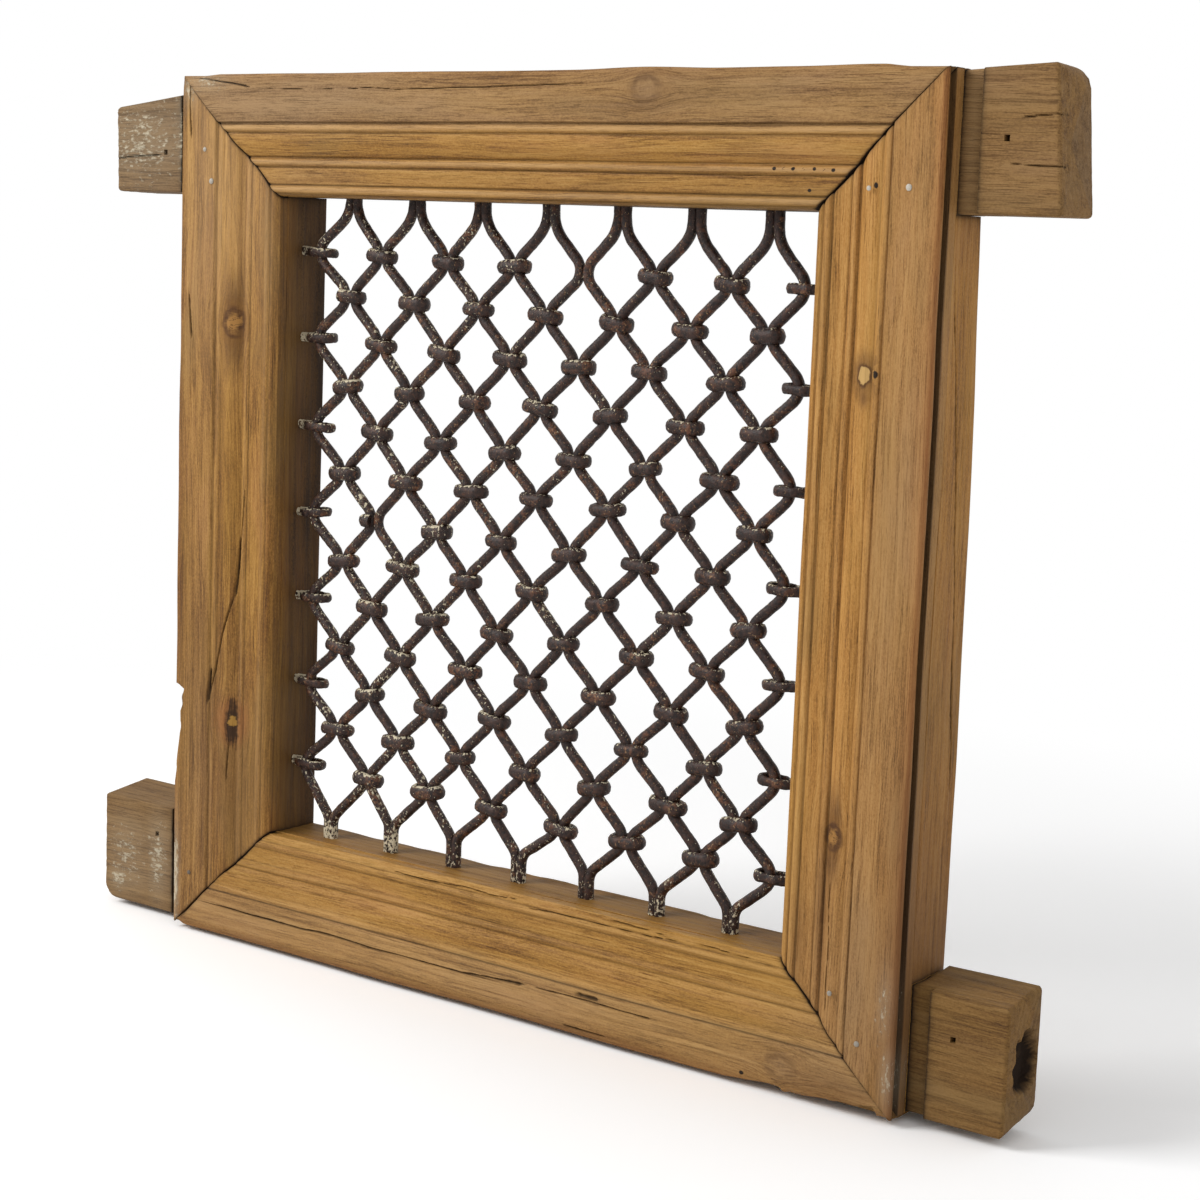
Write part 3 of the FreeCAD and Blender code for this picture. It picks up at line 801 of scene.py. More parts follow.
@dataclass
class Member:
    """A moulded teak member of the frame, worked out along its length, across its face and through it."""

    node: str
    run: Run
    outer: float
    inward: int
    middle: float
    half: float
    face: float
    cut_low: float
    cut_high: float
    front: float
    lap: float
    thick: float
    seed: int
    moulding: Moulding = field(default_factory=Moulding)
    finish: TeakFinish = field(default_factory=TeakFinish)
    knots: Sequence[Knot] = ()
    losses: Sequence[Loss] = ()
    splits: Sequence[Split] = ()
    limed: Sequence[Patch] = ()
    stained: Sequence[Patch] = ()
    greyed: Sequence[Patch] = ()
    bleached: Sequence[Patch] = ()
    swells: Sequence[Swell] = ()
    splay: float = 0.0
    relief: float = 0.18 * MM
    waviness: float = 0.35 * MM
    edge_wander: float = 0.6 * MM
    joint_open: float = 0.55 * MM
    band_age: float = 0.5
    edge_wear: float = 0.35
    # paleness of the bead crests: rubbed wear and painted highlight
    crest_wear_and_highlight: float = 0.3
    mould_drift: float = 0.7 * MM
    joint_sink: float = 0.9 * MM
    joint_reach: float = 1.1 * MM
    edge_reach: float = 3.5 * MM
    joint_round: float = 0.7 * MM
    drift_length: float = 140 * MM
    wander_length: float = 60 * MM
    # width of the darkening in the quirks between the moulds
    quirk_dark_width: float = 0.65 * MM
    band_fade: float = 3 * MM
    crack_wander: float = 0.8 * MM
    crack_lengths: tuple[float, float] = (28 * MM, 40 * MM)
    shade_reach: float = 26 * MM
    reveal: float = 1.0
    knot_depth: float = 16 * MM
    fine: float = 0.55 * MM
    back_round: float = 2.5 * MM
    stations: int = 250

    def __post_init__(self) -> None:
        """Name the member and draw its own noise."""
        self.name = f"teak_{self.node}"
        self.waves = Waves(self.seed)

    def build(self) -> bpy.types.Object:
        """Build and dress the member.

        Returns:
            The finished piece.
        """
        piece = self._mesh([self._face_shell(), self._back_shell()])
        piece.data.materials.append(self.finish.material(f"{self.name}_teak"))
        return piece

    def side_lines(self) -> list[tuple[float, float]]:
        """Points of the outer side of the face part, from its back to the arris."""
        return [(0.0, depth) for depth in np.linspace(self.lap, self.moulding.arris, 9)[:-1]]

    def side_shade(self, across: Array, depth: Array) -> Array:
        """Painted shade in the outer side of the face part; none on a plain side."""
        return across * 0

    def _face_shell(self) -> Shell:
        """Front part with its moulding, mitred at both ends.

        Returns:
            The grid of the front part.
        """
        even = np.linspace(0, self.face, int(round(self.face / self.fine)) + 1)
        front = np.column_stack([even, self.moulding.depth(even, self.face)])
        inner = [(self.face, depth) for depth in np.linspace(front[-1, 1], self.lap, 9)[1:]]
        loop = np.array(self.side_lines() + front.tolist() + inner)
        normal = outward(loop, closed=False)

        share = self._spread(self.stations)
        across = np.repeat(loop[None, :, 0], len(share), axis=0)
        depth = np.repeat(loop[None, :, 1], len(share), axis=0)
        inset = across / self.face
        ragged = self.waves.at(across * 90, across * 0 + 3, np.round(share)[:, None] * 2)
        loose = np.clip(0.2 + 1.8 * (inset - 0.25), 0.2, 1)
        opening = self.joint_open * (1 + 0.8 * ragged) * loose
        low = self.middle - self.half + self.cut_low * inset + opening
        high = self.middle + self.half - self.cut_high * inset - opening
        along = low + (high - low) * share[:, None]

        # painted shade in the stile's side quirk starts the dirt channel
        dirt = self.side_shade(across, depth)
        drift = self.mould_drift * self.waves.line(along, self.drift_length, 11) * np.sin(math.pi * inset)
        swell = self._unevenness(along, across, depth)
        across = across + normal[None, :, 0] * swell + drift + self._edge_drift(along, inset)
        depth = depth + normal[None, :, 1] * swell
        from_end = np.minimum(along - low, high - along)
        facing = normal[None, :, 1] < -0.3
        depth = depth + self.joint_sink * np.exp(-from_end / self.joint_round) * facing * loose
        across = self._broken(along, across, depth)
        crack = self._cracked(along, across, self.splits) * facing
        depth = depth + crack * max((split.depth for split in self.splits), default=0.0)

        # darkens the quirks between the moulds
        hollow = self.moulding.hollows(across - drift, self.face, self.quirk_dark_width)
        hollow = hollow * (normal[None, :, 1] < -0.2)
        # bead crests painted pale: part rubbed wear, part painted highlight
        rubbed_lit_crest = self.moulding.crests(across - drift, self.face) * facing
        joint = np.exp(-from_end / self.joint_reach) * np.sqrt(loose)
        inside = unit((across - self.face + 0.6 * MM) / (0.3 * MM)) * (normal[None, :, 0] > 0.7)
        band = unit(1 - (across - self.moulding.band * self.face) / self.band_fade)
        edge = np.exp(-np.hypot(across, depth - 1 * MM) / self.edge_reach)
        return Shell(
            along, across, depth,
            # dirt channel: real dirt in joints and cracks, darkened quirks, and the painted shade of the
            # side quirk
            dirt=unit(dirt + hollow * 0.68 + joint * 0.9 + crack * 0.75),
            shade=inside * self._reveal_shade(depth),
            age=band * self.band_age,
            worn=edge * self.edge_wear - rubbed_lit_crest * self.crest_wear_and_highlight,
        )

    def _back_shell(self) -> Shell:
        """Back part of the member."""
        raise NotImplementedError

    def _edge_drift(self, along: Array, inset: Array) -> Array:
        """Slow wandering and swelling of the outer edge, dying out toward the middle of the face.

        Args:
            along: Place along the member.
            inset: Place across its face, as a share of it.

        Returns:
            Shift across the face, inward counted up.
        """
        drift = self.edge_wander * self.waves.line(along, self.wander_length, 17)
        for swell in self.swells:
            inside = np.minimum(along - swell.start, swell.end - along) / swell.fade
            drift = drift - swell.rise * unit(inside)
        return drift * unit(1 - 2 * inset)

    def _reveal_shade(self, depth: Array) -> Array:
        """Darkness of the reveal, growing from the front to the back: painted shade of the recess over
        darker old finish.
        """
        return self.reveal * unit(0.2 + (depth - self.moulding.inner_step) / self.shade_reach)

    def _spread(self, count: int) -> Array:
        """Shares of the length at which sections stand, closer at both ends."""
        near = np.array([0.0, 0.3, 0.8, 1.6]) * MM / (2 * self.half)
        return np.unique(np.concatenate([near, np.linspace(0, 1, count + 1)[1:-1], 1 - near]))

    def _unevenness(self, along: Array, across: Array, depth: Array) -> Array:
        """Hand-worked unevenness and weathered grain standing off the surface.

        Args:
            along: Place along the member.
            across: Place across its face.
            depth: Place through it.

        Returns:
            Height at each point.
        """
        slow = self.waves.at(along * 9, across * 14 + 5, depth * 14)
        grain = self.waves.at(along * 11, across * 330, depth * 330)
        fine = self.waves.at(along * 30 + 9, across * 800, depth * 800)
        return self.waviness * (slow - 0.5) + self.relief * (grain + 0.4 * fine - 0.7)

    def _broken(self, along: Array, across: Array, depth: Array) -> Array:
        """Take the losses out of the outer front edge.

        Args:
            along: Place along the member.
            across: Place across its face.
            depth: Place through it.

        Returns:
            The new places across.
        """
        for loss in self.losses:
            share = unit((along - loss.start) / (loss.end - loss.start))
            inside = (share > 0) & (share < 1) & (depth < loss.reach)
            ragged = 1 + 0.25 * self.waves.at(along * 160, depth * 200, across * 0)
            across = np.maximum(across, loss.bite * (1 - share) ** 0.8 * ragged * inside)
        return across

    def _cracked(self, along: Array, place: Array, splits: Sequence[Split]) -> Array:
        """How far each point lies in a drying crack, from 0 to 1.

        Args:
            along: Place along the member.
            place: Place across its face, or through its side.
            splits: The cracks.

        Returns:
            One value for each point.
        """
        total = along * 0
        bends, swells = self.crack_lengths
        for lane, split in enumerate(splits):
            share = (along - split.start) / (split.end - split.start)
            line = split.place + split.drift * share + split.bow * 4 * share * (1 - share)
            line = line + self.crack_wander * self.waves.line(along, bends, 2 + lane)
            taper = unit(np.minimum(share, 1 - share) * 8)
            wide = split.width * (0.6 + 0.4 * self.waves.line(along, swells, 6 + lane)) * taper
            ragged = 0.3 * self.waves.at(along * 210, place * 500, along * 0 + lane)
            near = unit(1.4 + ragged - np.abs(place - line) / np.maximum(wide, 1e-5))
            total = np.maximum(total, near * taper)
        return total

    def _patched(self, shell: Shell, patches: Sequence[Patch]) -> Array:
        """How far each point lies in some patches, from 0 to 1.

        Args:
            shell: The grid.
            patches: The patches.

        Returns:
            One value for each point.
        """
        total = shell.along * 0
        for patch in patches:
            beside = (shell.along - patch.along) / patch.long
            off = (shell.across - patch.across) / patch.wide
            total = np.maximum(total, patch.strength * np.exp(-beside ** 2 - off ** 2))
        return total

    def _grain(self, shell: Shell) -> tuple[Array, Array]:
        """Grain that flows round the knots, and the place of each point in its nearest knot.

        Args:
            shell: The grid.

        Returns:
            Grain places; places in the knot, counted in its radius, with its kind.
        """
        across = shell.across.copy()
        nearest = np.full(shell.along.shape, np.inf)
        knots = np.full((*shell.along.shape, 3), (9.0, 9.0, 0.0))
        for knot in self.knots:
            beside, off = shell.along - knot.along, shell.across - knot.across
            far = np.hypot(beside / 1.5, off) / knot.radius
            if knot.kind in (KnotKind.GROWN, KnotKind.FAINT, KnotKind.SCAR):
                across = across - off * np.exp(-(far / 1.7) ** 2) * 0.8
            closer = (far < nearest) & (shell.depth < self.knot_depth)
            nearest = np.where(closer, far, nearest)
            place = np.stack([beside, off, beside * 0], axis=-1) / knot.radius
            place[..., 2] = knot.kind.value
            knots = np.where(closer[..., None], place, knots)
        grain = np.stack([shell.along + self.seed * 1.37, across, shell.depth], axis=-1)
        return grain, knots

    def _world(self, shell: Shell) -> Array:
        """Places of a shell's points in the window's frame.

        Args:
            shell: The grid.

        Returns:
            Points in rows.
        """
        across = self.outer + self.inward * shell.across
        through = self.front + shell.depth
        if self.run is Run.ACROSS:
            points = np.stack([shell.along, through, across], axis=-1)
        else:
            points = np.stack([across, through, shell.along], axis=-1)
        return points.reshape(-1, 3)

    def _mesh(self, shells: Sequence[Shell]) -> bpy.types.Object:
        """Join shells into one mesh with the data that the finish reads.

        Args:
            shells: The grids.

        Returns:
            The object, faces outward.
        """
        points, faces = [], []
        data: dict[str, list[Array]] = {"grain": [], "soil_and_shade": [], "marks": [], "knot": []}
        start = 0
        for shell in shells:
            rows, columns = shell.along.shape
            points.append(self._world(shell))
            faces += closed_grid(rows, columns, start)
            start += rows * columns
            grain, knots = self._grain(shell)
            age = unit(shell.age + self._patched(shell, self.greyed))
            lime, stain = self._patched(shell, self.limed), self._patched(shell, self.stained)
            data["grain"].append(grain)
            data["soil_and_shade"].append(np.stack([shell.dirt, shell.shade, age], axis=-1))
            worn = shell.worn - self._patched(shell, self.bleached)
            data["marks"].append(np.stack([lime, worn, stain], axis=-1))
            data["knot"].append(knots)
        piece = mesh_object(self.name, np.concatenate(points), faces)
        for name, values in data.items():
            flat = np.concatenate([value.reshape(-1, 3) for value in values])
            kept = piece.data.attributes.new(name, "FLOAT_VECTOR", "POINT").data
            kept.foreach_set("vector", flat.astype(np.float32).ravel())
        return piece


def outward(loop: Array, closed: bool) -> Array:
    """Normals of an outline that runs with its outside on its left.

    Args:
        loop: Points of the outline.
        closed: Whether the last point joins the first.

    Returns:
        A unit vector for each point.
    """
    if closed:
        along = np.roll(loop, -1, axis=0) - np.roll(loop, 1, axis=0)
    else:
        along = np.gradient(loop, axis=0)
    along /= np.maximum(np.linalg.norm(along, axis=1, keepdims=True), 1e-9)
    return np.column_stack([along[:, 1], -along[:, 0]])


def closed_grid(rows: int, columns: int, start: int) -> list[tuple[int, ...]]:
    """Faces of a tube of sections, closed round and at both ends.

    Args:
        rows: Number of sections.
        columns: Points in each section.
        start: Number of the first point.

    Returns:
        Faces as point numbers.
    """
    index = np.arange(rows * columns).reshape(rows, columns) + start
    turned = np.roll(index, -1, axis=1)
    quads = np.stack([index[:-1], turned[:-1], turned[1:], index[1:]], axis=-1).reshape(-1, 4)
    return [tuple(quad) for quad in quads.tolist()] + [tuple(index[0].tolist()), tuple(index[-1].tolist())]


def mesh_object(name: str, points: Array, faces: Sequence[Sequence[int]]) -> bpy.types.Object:
    """Object at the origin with a mesh whose faces point outwards.

    Args:
        name: Name of the object.
        points: Places of the points.
        faces: Faces as point numbers.

    Returns:
        The object.
    """
    mesh = bpy.data.meshes.new(name)
    mesh.from_pydata(points.tolist(), [], faces)
    shape = bmesh.new()
    shape.from_mesh(mesh)
    bmesh.ops.recalc_face_normals(shape, faces=shape.faces)
    shape.to_mesh(mesh)
    shape.free()
    mesh.shade_smooth()
    mesh.set_sharp_from_angle(angle=SHARP_ANGLE)
    return put(name, mesh)


@dataclass(frozen=True)
class Block:
    """Section of a beam with rounded edges."""

    face: float
    near: float
    far: float
    near_round: float
    far_round: float

    def outline(self, inset: float, wide: Array, rear: Array, deep: Array) -> Array:
        """Outline in order: outer side, front, inner side, back.

        Args:
            inset: How far all sides are drawn in.
            wide: Shares of the width at which points of the front stand.
            rear: Shares of the width at which points of the back stand.
            deep: Shares of the thickness at which points stand.

        Returns:
            Points across and through.
        """
        low, high, top, back = inset, self.face - inset, self.near + inset, self.far - inset
        near, far = self.near_round, self.far_round
        turns = np.linspace(0, math.pi / 2, 5)[1:-1]
        small, large = 1 - np.cos(turns), 1 - np.sin(turns)
        sides = top + near + (back - far - top - near) * deep
        fronts = low + near + (high - low - 2 * near) * wide
        rears = high - far - (high - low - 2 * far) * rear
        across = [
            np.full(len(deep), low), low + near * small, fronts, high - near * large,
            np.full(len(deep), high), high - far * small, rears, low + far * large,
        ]
        through = [
            sides[::-1], top + near * large, np.full(len(wide), top), top + near * small,
            sides, back - far * large, np.full(len(rear), back), back - far * small,
        ]
        return np.column_stack([np.concatenate(across), np.concatenate(through)])


@dataclass(frozen=True)
class Horn:
    """End of a rail that runs past the stile."""

    hole_inset: float
    longer: float = 0.0
    cut_root: float = 0.0
    cut_tip: float = 0.0
    rise: float = 0.0
    slant: float = 0.0
    outer_round: float = 5 * MM
    outer_back: float = 5 * MM
    inner_round: float = 5 * MM
    age: float = 0.8
    dirt: float = 0.1
    hollow: float = 0.0


@dataclass
class Rail(Member):
    """Head or sill: moulded face part and a back part that runs past the stiles as horns."""

    tips: tuple[float, float] = (0.0, 0.0)
    horns: Sequence[Horn] = ()
    setback: float = 15 * MM
    strip: float = 17.5 * MM
    hole_reach: float = 36.5 * MM
    hole_size: float = 4 * MM
    horn_splits: Sequence[Split] = ()
    tip_round: float = 3 * MM
    cut_zone: float = 30 * MM
    hewn: float = 0.0
    horn_rough: float = 1.0
    hole_depths: tuple[float, float] = (20 * MM, 15 * MM)
    rot_centre: tuple[float, float] = (0.53, 0.68)
    rot_radii: tuple[float, float] = (21 * MM, 15 * MM)
    hewn_length: float = 24 * MM
    hewn_reach: float = 14 * MM
    rise_reach: float = 6 * MM
    crack_depth: float = 2 * MM
    saw_marks: float = 0.6 * MM
    root_dirt: float = 2.5 * MM
    step_dirt: float = 1.5 * MM
    horn_step: float = 2.2 * MM
    mid_sections: int = 110
    cap_rings: int = 15
    cap_shares: tuple[float, float] = (0.03, 0.96)
    front_points: int = 100
    rear_points: int = 20
    side_points: int = 24

    def __post_init__(self) -> None:
        """Work out how far each horn reaches beyond the side of the frame."""
        super().__post_init__()
        low, high = self.horns
        self.reaches = (
            self.middle - self.half - self.tips[0] + low.longer,
            self.tips[1] - self.middle - self.half + high.longer,
        )

    def _end_places(self, reach: float) -> Array:
        """Distances beyond the side of the frame at which sections of a horn stand.

        Args:
            reach: Length of the horn.

        Returns:
            Distances in order.
        """
        turn = reach - self.tip_round * (1 - np.cos(np.linspace(0, math.pi / 2, 6)))
        half_hole = self.hole_size / 2
        rims = [self.hole_reach + sign * (half_hole + step) for sign in (-1, 1) for step in (0.0, HAIR)]
        even = np.arange(2 * MM, reach - self.tip_round, self.horn_step)
        return np.unique(np.concatenate([[HAIR, self.strip, self.strip + HAIR], rims, even, turn]))

    def _sections(self) -> tuple[Array, Array]:
        """Places of the sections along the back part, and how much of each is left.

        Returns:
            Places along, and shares that close the two ends.
        """
        low, high = (self._end_places(reach) for reach in self.reaches)
        between = np.linspace(-self.half, self.half, self.mid_sections)
        places = np.concatenate([-self.half - low[::-1], between, self.half + high]) + self.middle
        left = np.linspace(*self.cap_shares, self.cap_rings)
        first, last = (np.full(self.cap_rings, place) for place in (places[0], places[-1]))
        along = np.concatenate([first, places, last])
        return along, np.concatenate([left, np.ones(len(places)), left[::-1]])

    def _outlines(self, places: Array) -> Array:
        """Outline of each section, drawn in at the tips.

        Args:
            places: Places along.

        Returns:
            Points across and through for each section.
        """
        room = self.face - 2 * self.back_round
        rims = []
        for horn in self.horns:
            centre = self.face - horn.hole_inset - self.back_round
            rim = self.hole_size / 2 + np.array([0.0, HAIR])
            rims += [(centre + rim) / room, (centre - rim) / room]
        counts = (self.front_points, self.rear_points)
        wide, rear = (np.unique(np.concatenate([np.linspace(0, 1, count), *rims])) for count in counts)
        deep = np.linspace(0, 1, self.side_points)
        outlines = []
        for place in places:
            side = 0 if place < self.middle else 1
            beyond = abs(place - self.middle) - self.half
            near = self.setback if beyond > self.strip + HAIR / 2 else self.lap
            near_round = self.back_round if beyond > HAIR / 2 else 0.0
            turn = min(max(self.tip_round - self.reaches[side] + beyond, 0.0), self.tip_round)
            inset = self.tip_round - math.sqrt(self.tip_round ** 2 - turn ** 2)
            block = Block(self.face, near, self.thick, near_round, self.back_round)
            outlines.append(block.outline(inset, wide, rear, deep))
        return np.array(outlines)

    def _shaped(self, along: Array, across: Array, depth: Array) -> tuple[Array, Array]:
        """Cut, raise and round the horns.

        Args:
            along: Place along the member.
            across: Place across its face.
            depth: Place through it.

        Returns:
            The new places along and across.
        """
        for sign, horn, reach in zip((-1, 1), self.horns, self.reaches):
            beyond = sign * (along - self.middle) - self.half
            out = beyond > HAIR / 2
            share = unit(beyond / reach)
            drop = (horn.cut_root + (horn.cut_tip - horn.cut_root) * share) * out
            squeezed = drop + across * (self.cut_zone - drop) / self.cut_zone
            across = np.where(across < self.cut_zone, squeezed, across)
            lean = unit((depth - self.setback) / (self.thick - self.setback))
            lift = horn.rise * lean * unit(across / self.face) * unit(beyond / self.rise_reach)
            corner = horn.outer_round + (horn.outer_back - horn.outer_round) * lean
            outer = np.clip(corner - across + drop, 0, corner)
            inner = np.clip(horn.inner_round - self.face + across, 0, horn.inner_round)
            shear = horn.slant * (across / self.face - 0.5)
            limit = reach + shear - corner - horn.inner_round
            limit = limit + np.sqrt(corner ** 2 - outer ** 2) + np.sqrt(horn.inner_round ** 2 - inner ** 2)
            kept = np.minimum(beyond + shear * share ** 2, limit)
            along = np.where(out, self.middle + sign * (self.half + kept), along)
            across = across + lift
        return along, across

    def _holes(self, along: Array, across: Array) -> Array:
        """Which points lie in the nail holes of the horns.

        Args:
            along: Place along the member.
            across: Place across its face.

        Returns:
            True for points in a hole.
        """
        reach = self.hole_size / 2 + 0.4 * HAIR
        inside = np.zeros(along.shape, bool)
        for sign, horn in zip((-1, 1), self.horns):
            off = sign * (along - self.middle) - self.half - self.hole_reach
            inside |= (np.abs(off) < reach) & (np.abs(across - self.face + horn.hole_inset) < reach)
        return inside

    def _back_shell(self) -> Shell:
        """Back part with its two horns.

        Returns:
            The grid of the back part.
        """
        places, left = self._sections()
        sections = self._outlines(places)
        normals = np.array([outward(section, closed=True) for section in sections])
        centre = sections.mean(axis=1, keepdims=True)
        sections = centre + (sections - centre) * left[:, None, None]
        along = np.repeat(places[:, None], sections.shape[1], axis=1)
        across, depth = sections[..., 0], sections[..., 1]
        in_hole = self._holes(along, across)

        capped = left[:, None] < 1
        low_end = along < self.middle
        beyond = np.abs(along - self.middle) - self.half
        horn = unit(beyond / HAIR)
        swell = self._unevenness(along, across, depth) * (1 + self.horn_rough * horn) * ~capped
        facing, inner = normals[..., 1], normals[..., 0] > 0.9
        across = across + normals[..., 0] * swell
        sunk = self.hole_depths[0] * (facing < -0.9) - self.hole_depths[1] * (facing > 0.9)
        depth = depth + facing * swell + in_hole * sunk
        rough = self.hewn * np.minimum(self.waves.line(along, self.hewn_length, 5), 0) * (1 - horn)
        behind = unit((depth - self.thick + self.hewn_reach) / self.hewn_reach)
        inset = unit(across / self.face)
        splay = self.splay * unit((depth - self.lap) / (self.thick - self.lap))
        across = across + (rough * behind + splay * (1 - horn)) * inset ** 8
        across = across + self._edge_drift(along, inset) * (1 - horn)
        crack = self._cracked(along, across, self.horn_splits) * horn * (facing < -0.5)
        depth = depth + crack * self.crack_depth
        along, across = self._shaped(along, across, depth)

        inward = np.where(low_end, 1.0, -1.0)
        at_tip = np.abs(beyond - np.where(low_end, *self.reaches)) < 1e-6
        sawn = np.abs(self.waves.at(across * 120, depth * 120, along * 0 + 4))
        along = along + at_tip * inward * self.saw_marks * sawn
        aside = (across - self.rot_centre[0] * self.face) / self.rot_radii[0]
        below = (depth - self.rot_centre[1] * self.thick) / self.rot_radii[1]
        oval = np.hypot(aside, below) + 0.18 * self.waves.at(across * 170, depth * 170, along * 0 + 9)
        low_horn, high_horn = self.horns
        rotten = np.where(low_end, low_horn.hollow, high_horn.hollow)
        hollow = unit((1.1 - oval) * 4) * at_tip * (rotten > 0)
        along = along + hollow * rotten * inward

        root = np.exp(-np.abs(beyond) / self.root_dirt) * horn
        step = np.exp(-np.abs(beyond - self.strip) / self.step_dirt) * (facing < -0.5)
        dark = np.where(low_end, low_horn.dirt, high_horn.dirt)
        age = np.where(low_end, low_horn.age, high_horn.age)
        dirt = root * 0.7 + step * 0.5 + in_hole + hollow * 1.2 + crack * 0.42 + horn * dark
        return Shell(
            along, across, depth,
            dirt=unit(dirt),
            shade=inner * (1 - horn) * self._reveal_shade(depth),
            age=horn * age + (facing > 0.5) * 0.5,
            worn=along * 0,
        )


@dataclass
class Stile(Member):
    """Upright between the rails: mitred face part with a quirk on its outer side, and a back part."""

    quirk_near: float = 4.4 * MM
    quirk_far: float = 10.8 * MM
    quirk_deep: float = 4 * MM
    quirk_lip: float = 0.2 * MM
    shoulder_dirt: float = 2 * MM
    rubbed_back: float = 6 * MM
    side_splits: Sequence[Split] = ()
    belly: float = 0.0
    taper: float = 0.0
    belly_height: float = 0.0
    back_sections: int = 200
    wide_points: int = 30
    deep_points: int = 48

    def side_lines(self) -> list[tuple[float, float]]:
        """Outer side with the quirk behind the arris.

        Returns:
            Points from its back to the arris.
        """
        behind = [(0.0, depth) for depth in np.linspace(self.lap, self.quirk_far, 5)]
        inside = np.linspace(self.quirk_far - self.quirk_lip, self.quirk_near + self.quirk_lip, 6)
        floor = [(self.quirk_deep, depth) for depth in inside]
        before = [(0.0, depth) for depth in np.linspace(self.quirk_near, self.moulding.arris, 4)[:-1]]
        return behind + floor + before

    def side_shade(self, across: Array, depth: Array) -> Array:
        """Painted shade in the quirk."""
        within = (depth > self.quirk_near - HAIR) & (depth < self.quirk_far + HAIR)
        return within * (across < self.quirk_deep + HAIR) * 0.62

    def _back_shell(self) -> Shell:
        """Back part between the shoulders.

        Returns:
            The grid of the back part.
        """
        low = self.middle - self.half + self.cut_low
        high = self.middle + self.half - self.cut_high
        places = np.linspace(low, high, self.back_sections)
        block = Block(self.face, self.lap, self.thick, 0.0, self.back_round)
        wide, deep = (np.linspace(0, 1, count) for count in (self.wide_points, self.deep_points))
        loop = block.outline(0.0, wide, wide, deep)
        normal = outward(loop, closed=True)
        along = np.repeat(places[:, None], len(loop), axis=1)
        across = np.repeat(loop[None, :, 0], len(places), axis=0)
        depth = np.repeat(loop[None, :, 1], len(places), axis=0)
        inset = across / self.face
        side, inner = normal[None, :, 0] < -0.7, normal[None, :, 0] > 0.9
        crack = self._cracked(along, depth, self.side_splits) * side
        swell = self._unevenness(along, across, depth)
        across = across + normal[None, :, 0] * swell + self._edge_drift(along, inset)
        across = across + crack * max((split.depth for split in self.side_splits), default=0.0)
        reach = unit((depth - self.lap) / (self.thick - self.lap))
        across = across + self.splay * reach * unit(inset) ** 6
        bulge = self.belly - self.taper * ((along - self.belly_height) / self.half) ** 2
        depth = depth + normal[None, :, 1] * swell + reach * bulge
        joint = np.exp(-np.minimum(along - low, high - along) / self.shoulder_dirt)
        back_edge = unit((depth - self.thick + self.rubbed_back) / self.rubbed_back)
        return Shell(
            along, across, depth,
            dirt=unit(joint * 0.7 + crack),
            shade=inner * self._reveal_shade(depth),
            age=(normal[None, :, 1] > 0.5) * 0.5 + along * 0,
            worn=inner * back_edge * 0.6,
        )


class SweepInput(Enum):
    """Named inputs of the tree that sweeps and sets out forged iron."""

    PATH = "Path"
    WIDTH = "Width"
    HEIGHT = "Height"
    BEND = "Bend Radius"
    STEP = "Step"
    TAPER = "Taper"
    LEVEL = "Level"
    TILT = "Tilt Spread"
    SIZE = "Size Spread"
    HAMMER = "Hammer Depth"
    GRAIN = "Hammer Scale"
    SEED = "Seed"
    MATERIAL = "Material"


class PointGraph(Graph):
    """A Geometry Nodes tree that sets a shape at each of some loose points."""

    def __init__(self, name: str, inputs: type[Enum], kinds: Mapping[Enum, str]) -> None:
        """Start the tree.

        Args:
            name: Its name.
            inputs: Its named inputs.
            kinds: Socket types of the inputs that aren't plain numbers.
        """
        super().__init__(bpy.data.node_groups.new(name, "GeometryNodeTree"))
        face = self.tree.interface
        face.new_socket("Geometry", in_out="INPUT", socket_type="NodeSocketGeometry")
        self.sockets = {}
        for key in inputs:
            kind = kinds.get(key, "NodeSocketFloat")
            self.sockets[key] = face.new_socket(key.value, in_out="INPUT", socket_type=kind).identifier
        face.new_socket("Geometry", in_out="OUTPUT", socket_type="NodeSocketGeometry")
        source = self.tree.nodes.new("NodeGroupInput")
        self.take = {key: Pin(self, source.outputs[key.value]) for key in inputs}
        self.points = Pin(self, source.outputs["Geometry"])

    def set_out(self, **sockets: Pin) -> Pin:
        """Set a shape at every point.

        Args:
            sockets: The instance, its rotation and its scale, in lower case.

        Returns:
            Real geometry.
        """
        spots = self.add("GeometryNodeMeshToPoints", {}, {"Mesh": self.points})
        named = {name.capitalize(): value for name, value in sockets.items()}
        placed = self.add("GeometryNodeInstanceOnPoints", {}, {"Points": spots, **named})
        return self.add("GeometryNodeRealizeInstances", {}, {"Geometry": placed})

    def close(self, shape: Pin, lift: Pin, material: Pin) -> None:
        """End the tree: shift the surface, smooth its shading and give it its material.

        Args:
            shape: The geometry.
            lift: How far each point moves.
            material: The material.
        """
        uneven = self.add("GeometryNodeSetPosition", {}, {"Geometry": shape, "Offset": lift})
        smooth = self.add("GeometryNodeSetShadeSmooth", {}, {"Geometry": uneven})
        dressed = self.add("GeometryNodeSetMaterial", {}, {"Geometry": smooth, "Material": material})
        self.add("NodeGroupOutput", {}, {0: dressed})

    def run(self, name: str, points: Sequence[Vector], values: Mapping[Enum, object]) -> bpy.types.Object:
        """Run the tree and keep its result as a plain mesh.

        Args:
            name: Name of the piece.
            points: The points.
            values: Value of each input.

        Returns:
            The piece, with no modifier.
        """
        spots = bpy.data.meshes.new(f"{name}_spots")
        spots.from_pydata([tuple(point) for point in points], [], [])
        host = put(f"{name}_host", spots)
        modifier = host.modifiers.new("tree", "NODES")
        modifier.node_group = self.tree
        for key, value in values.items():
            modifier[self.sockets[key]] = value
        seen = host.evaluated_get(bpy.context.evaluated_depsgraph_get())
        mesh = bpy.data.meshes.new_from_object(seen)
        mesh.name = name
        host.modifiers.clear()
        bpy.data.objects.remove(host)
        return put(name, mesh)


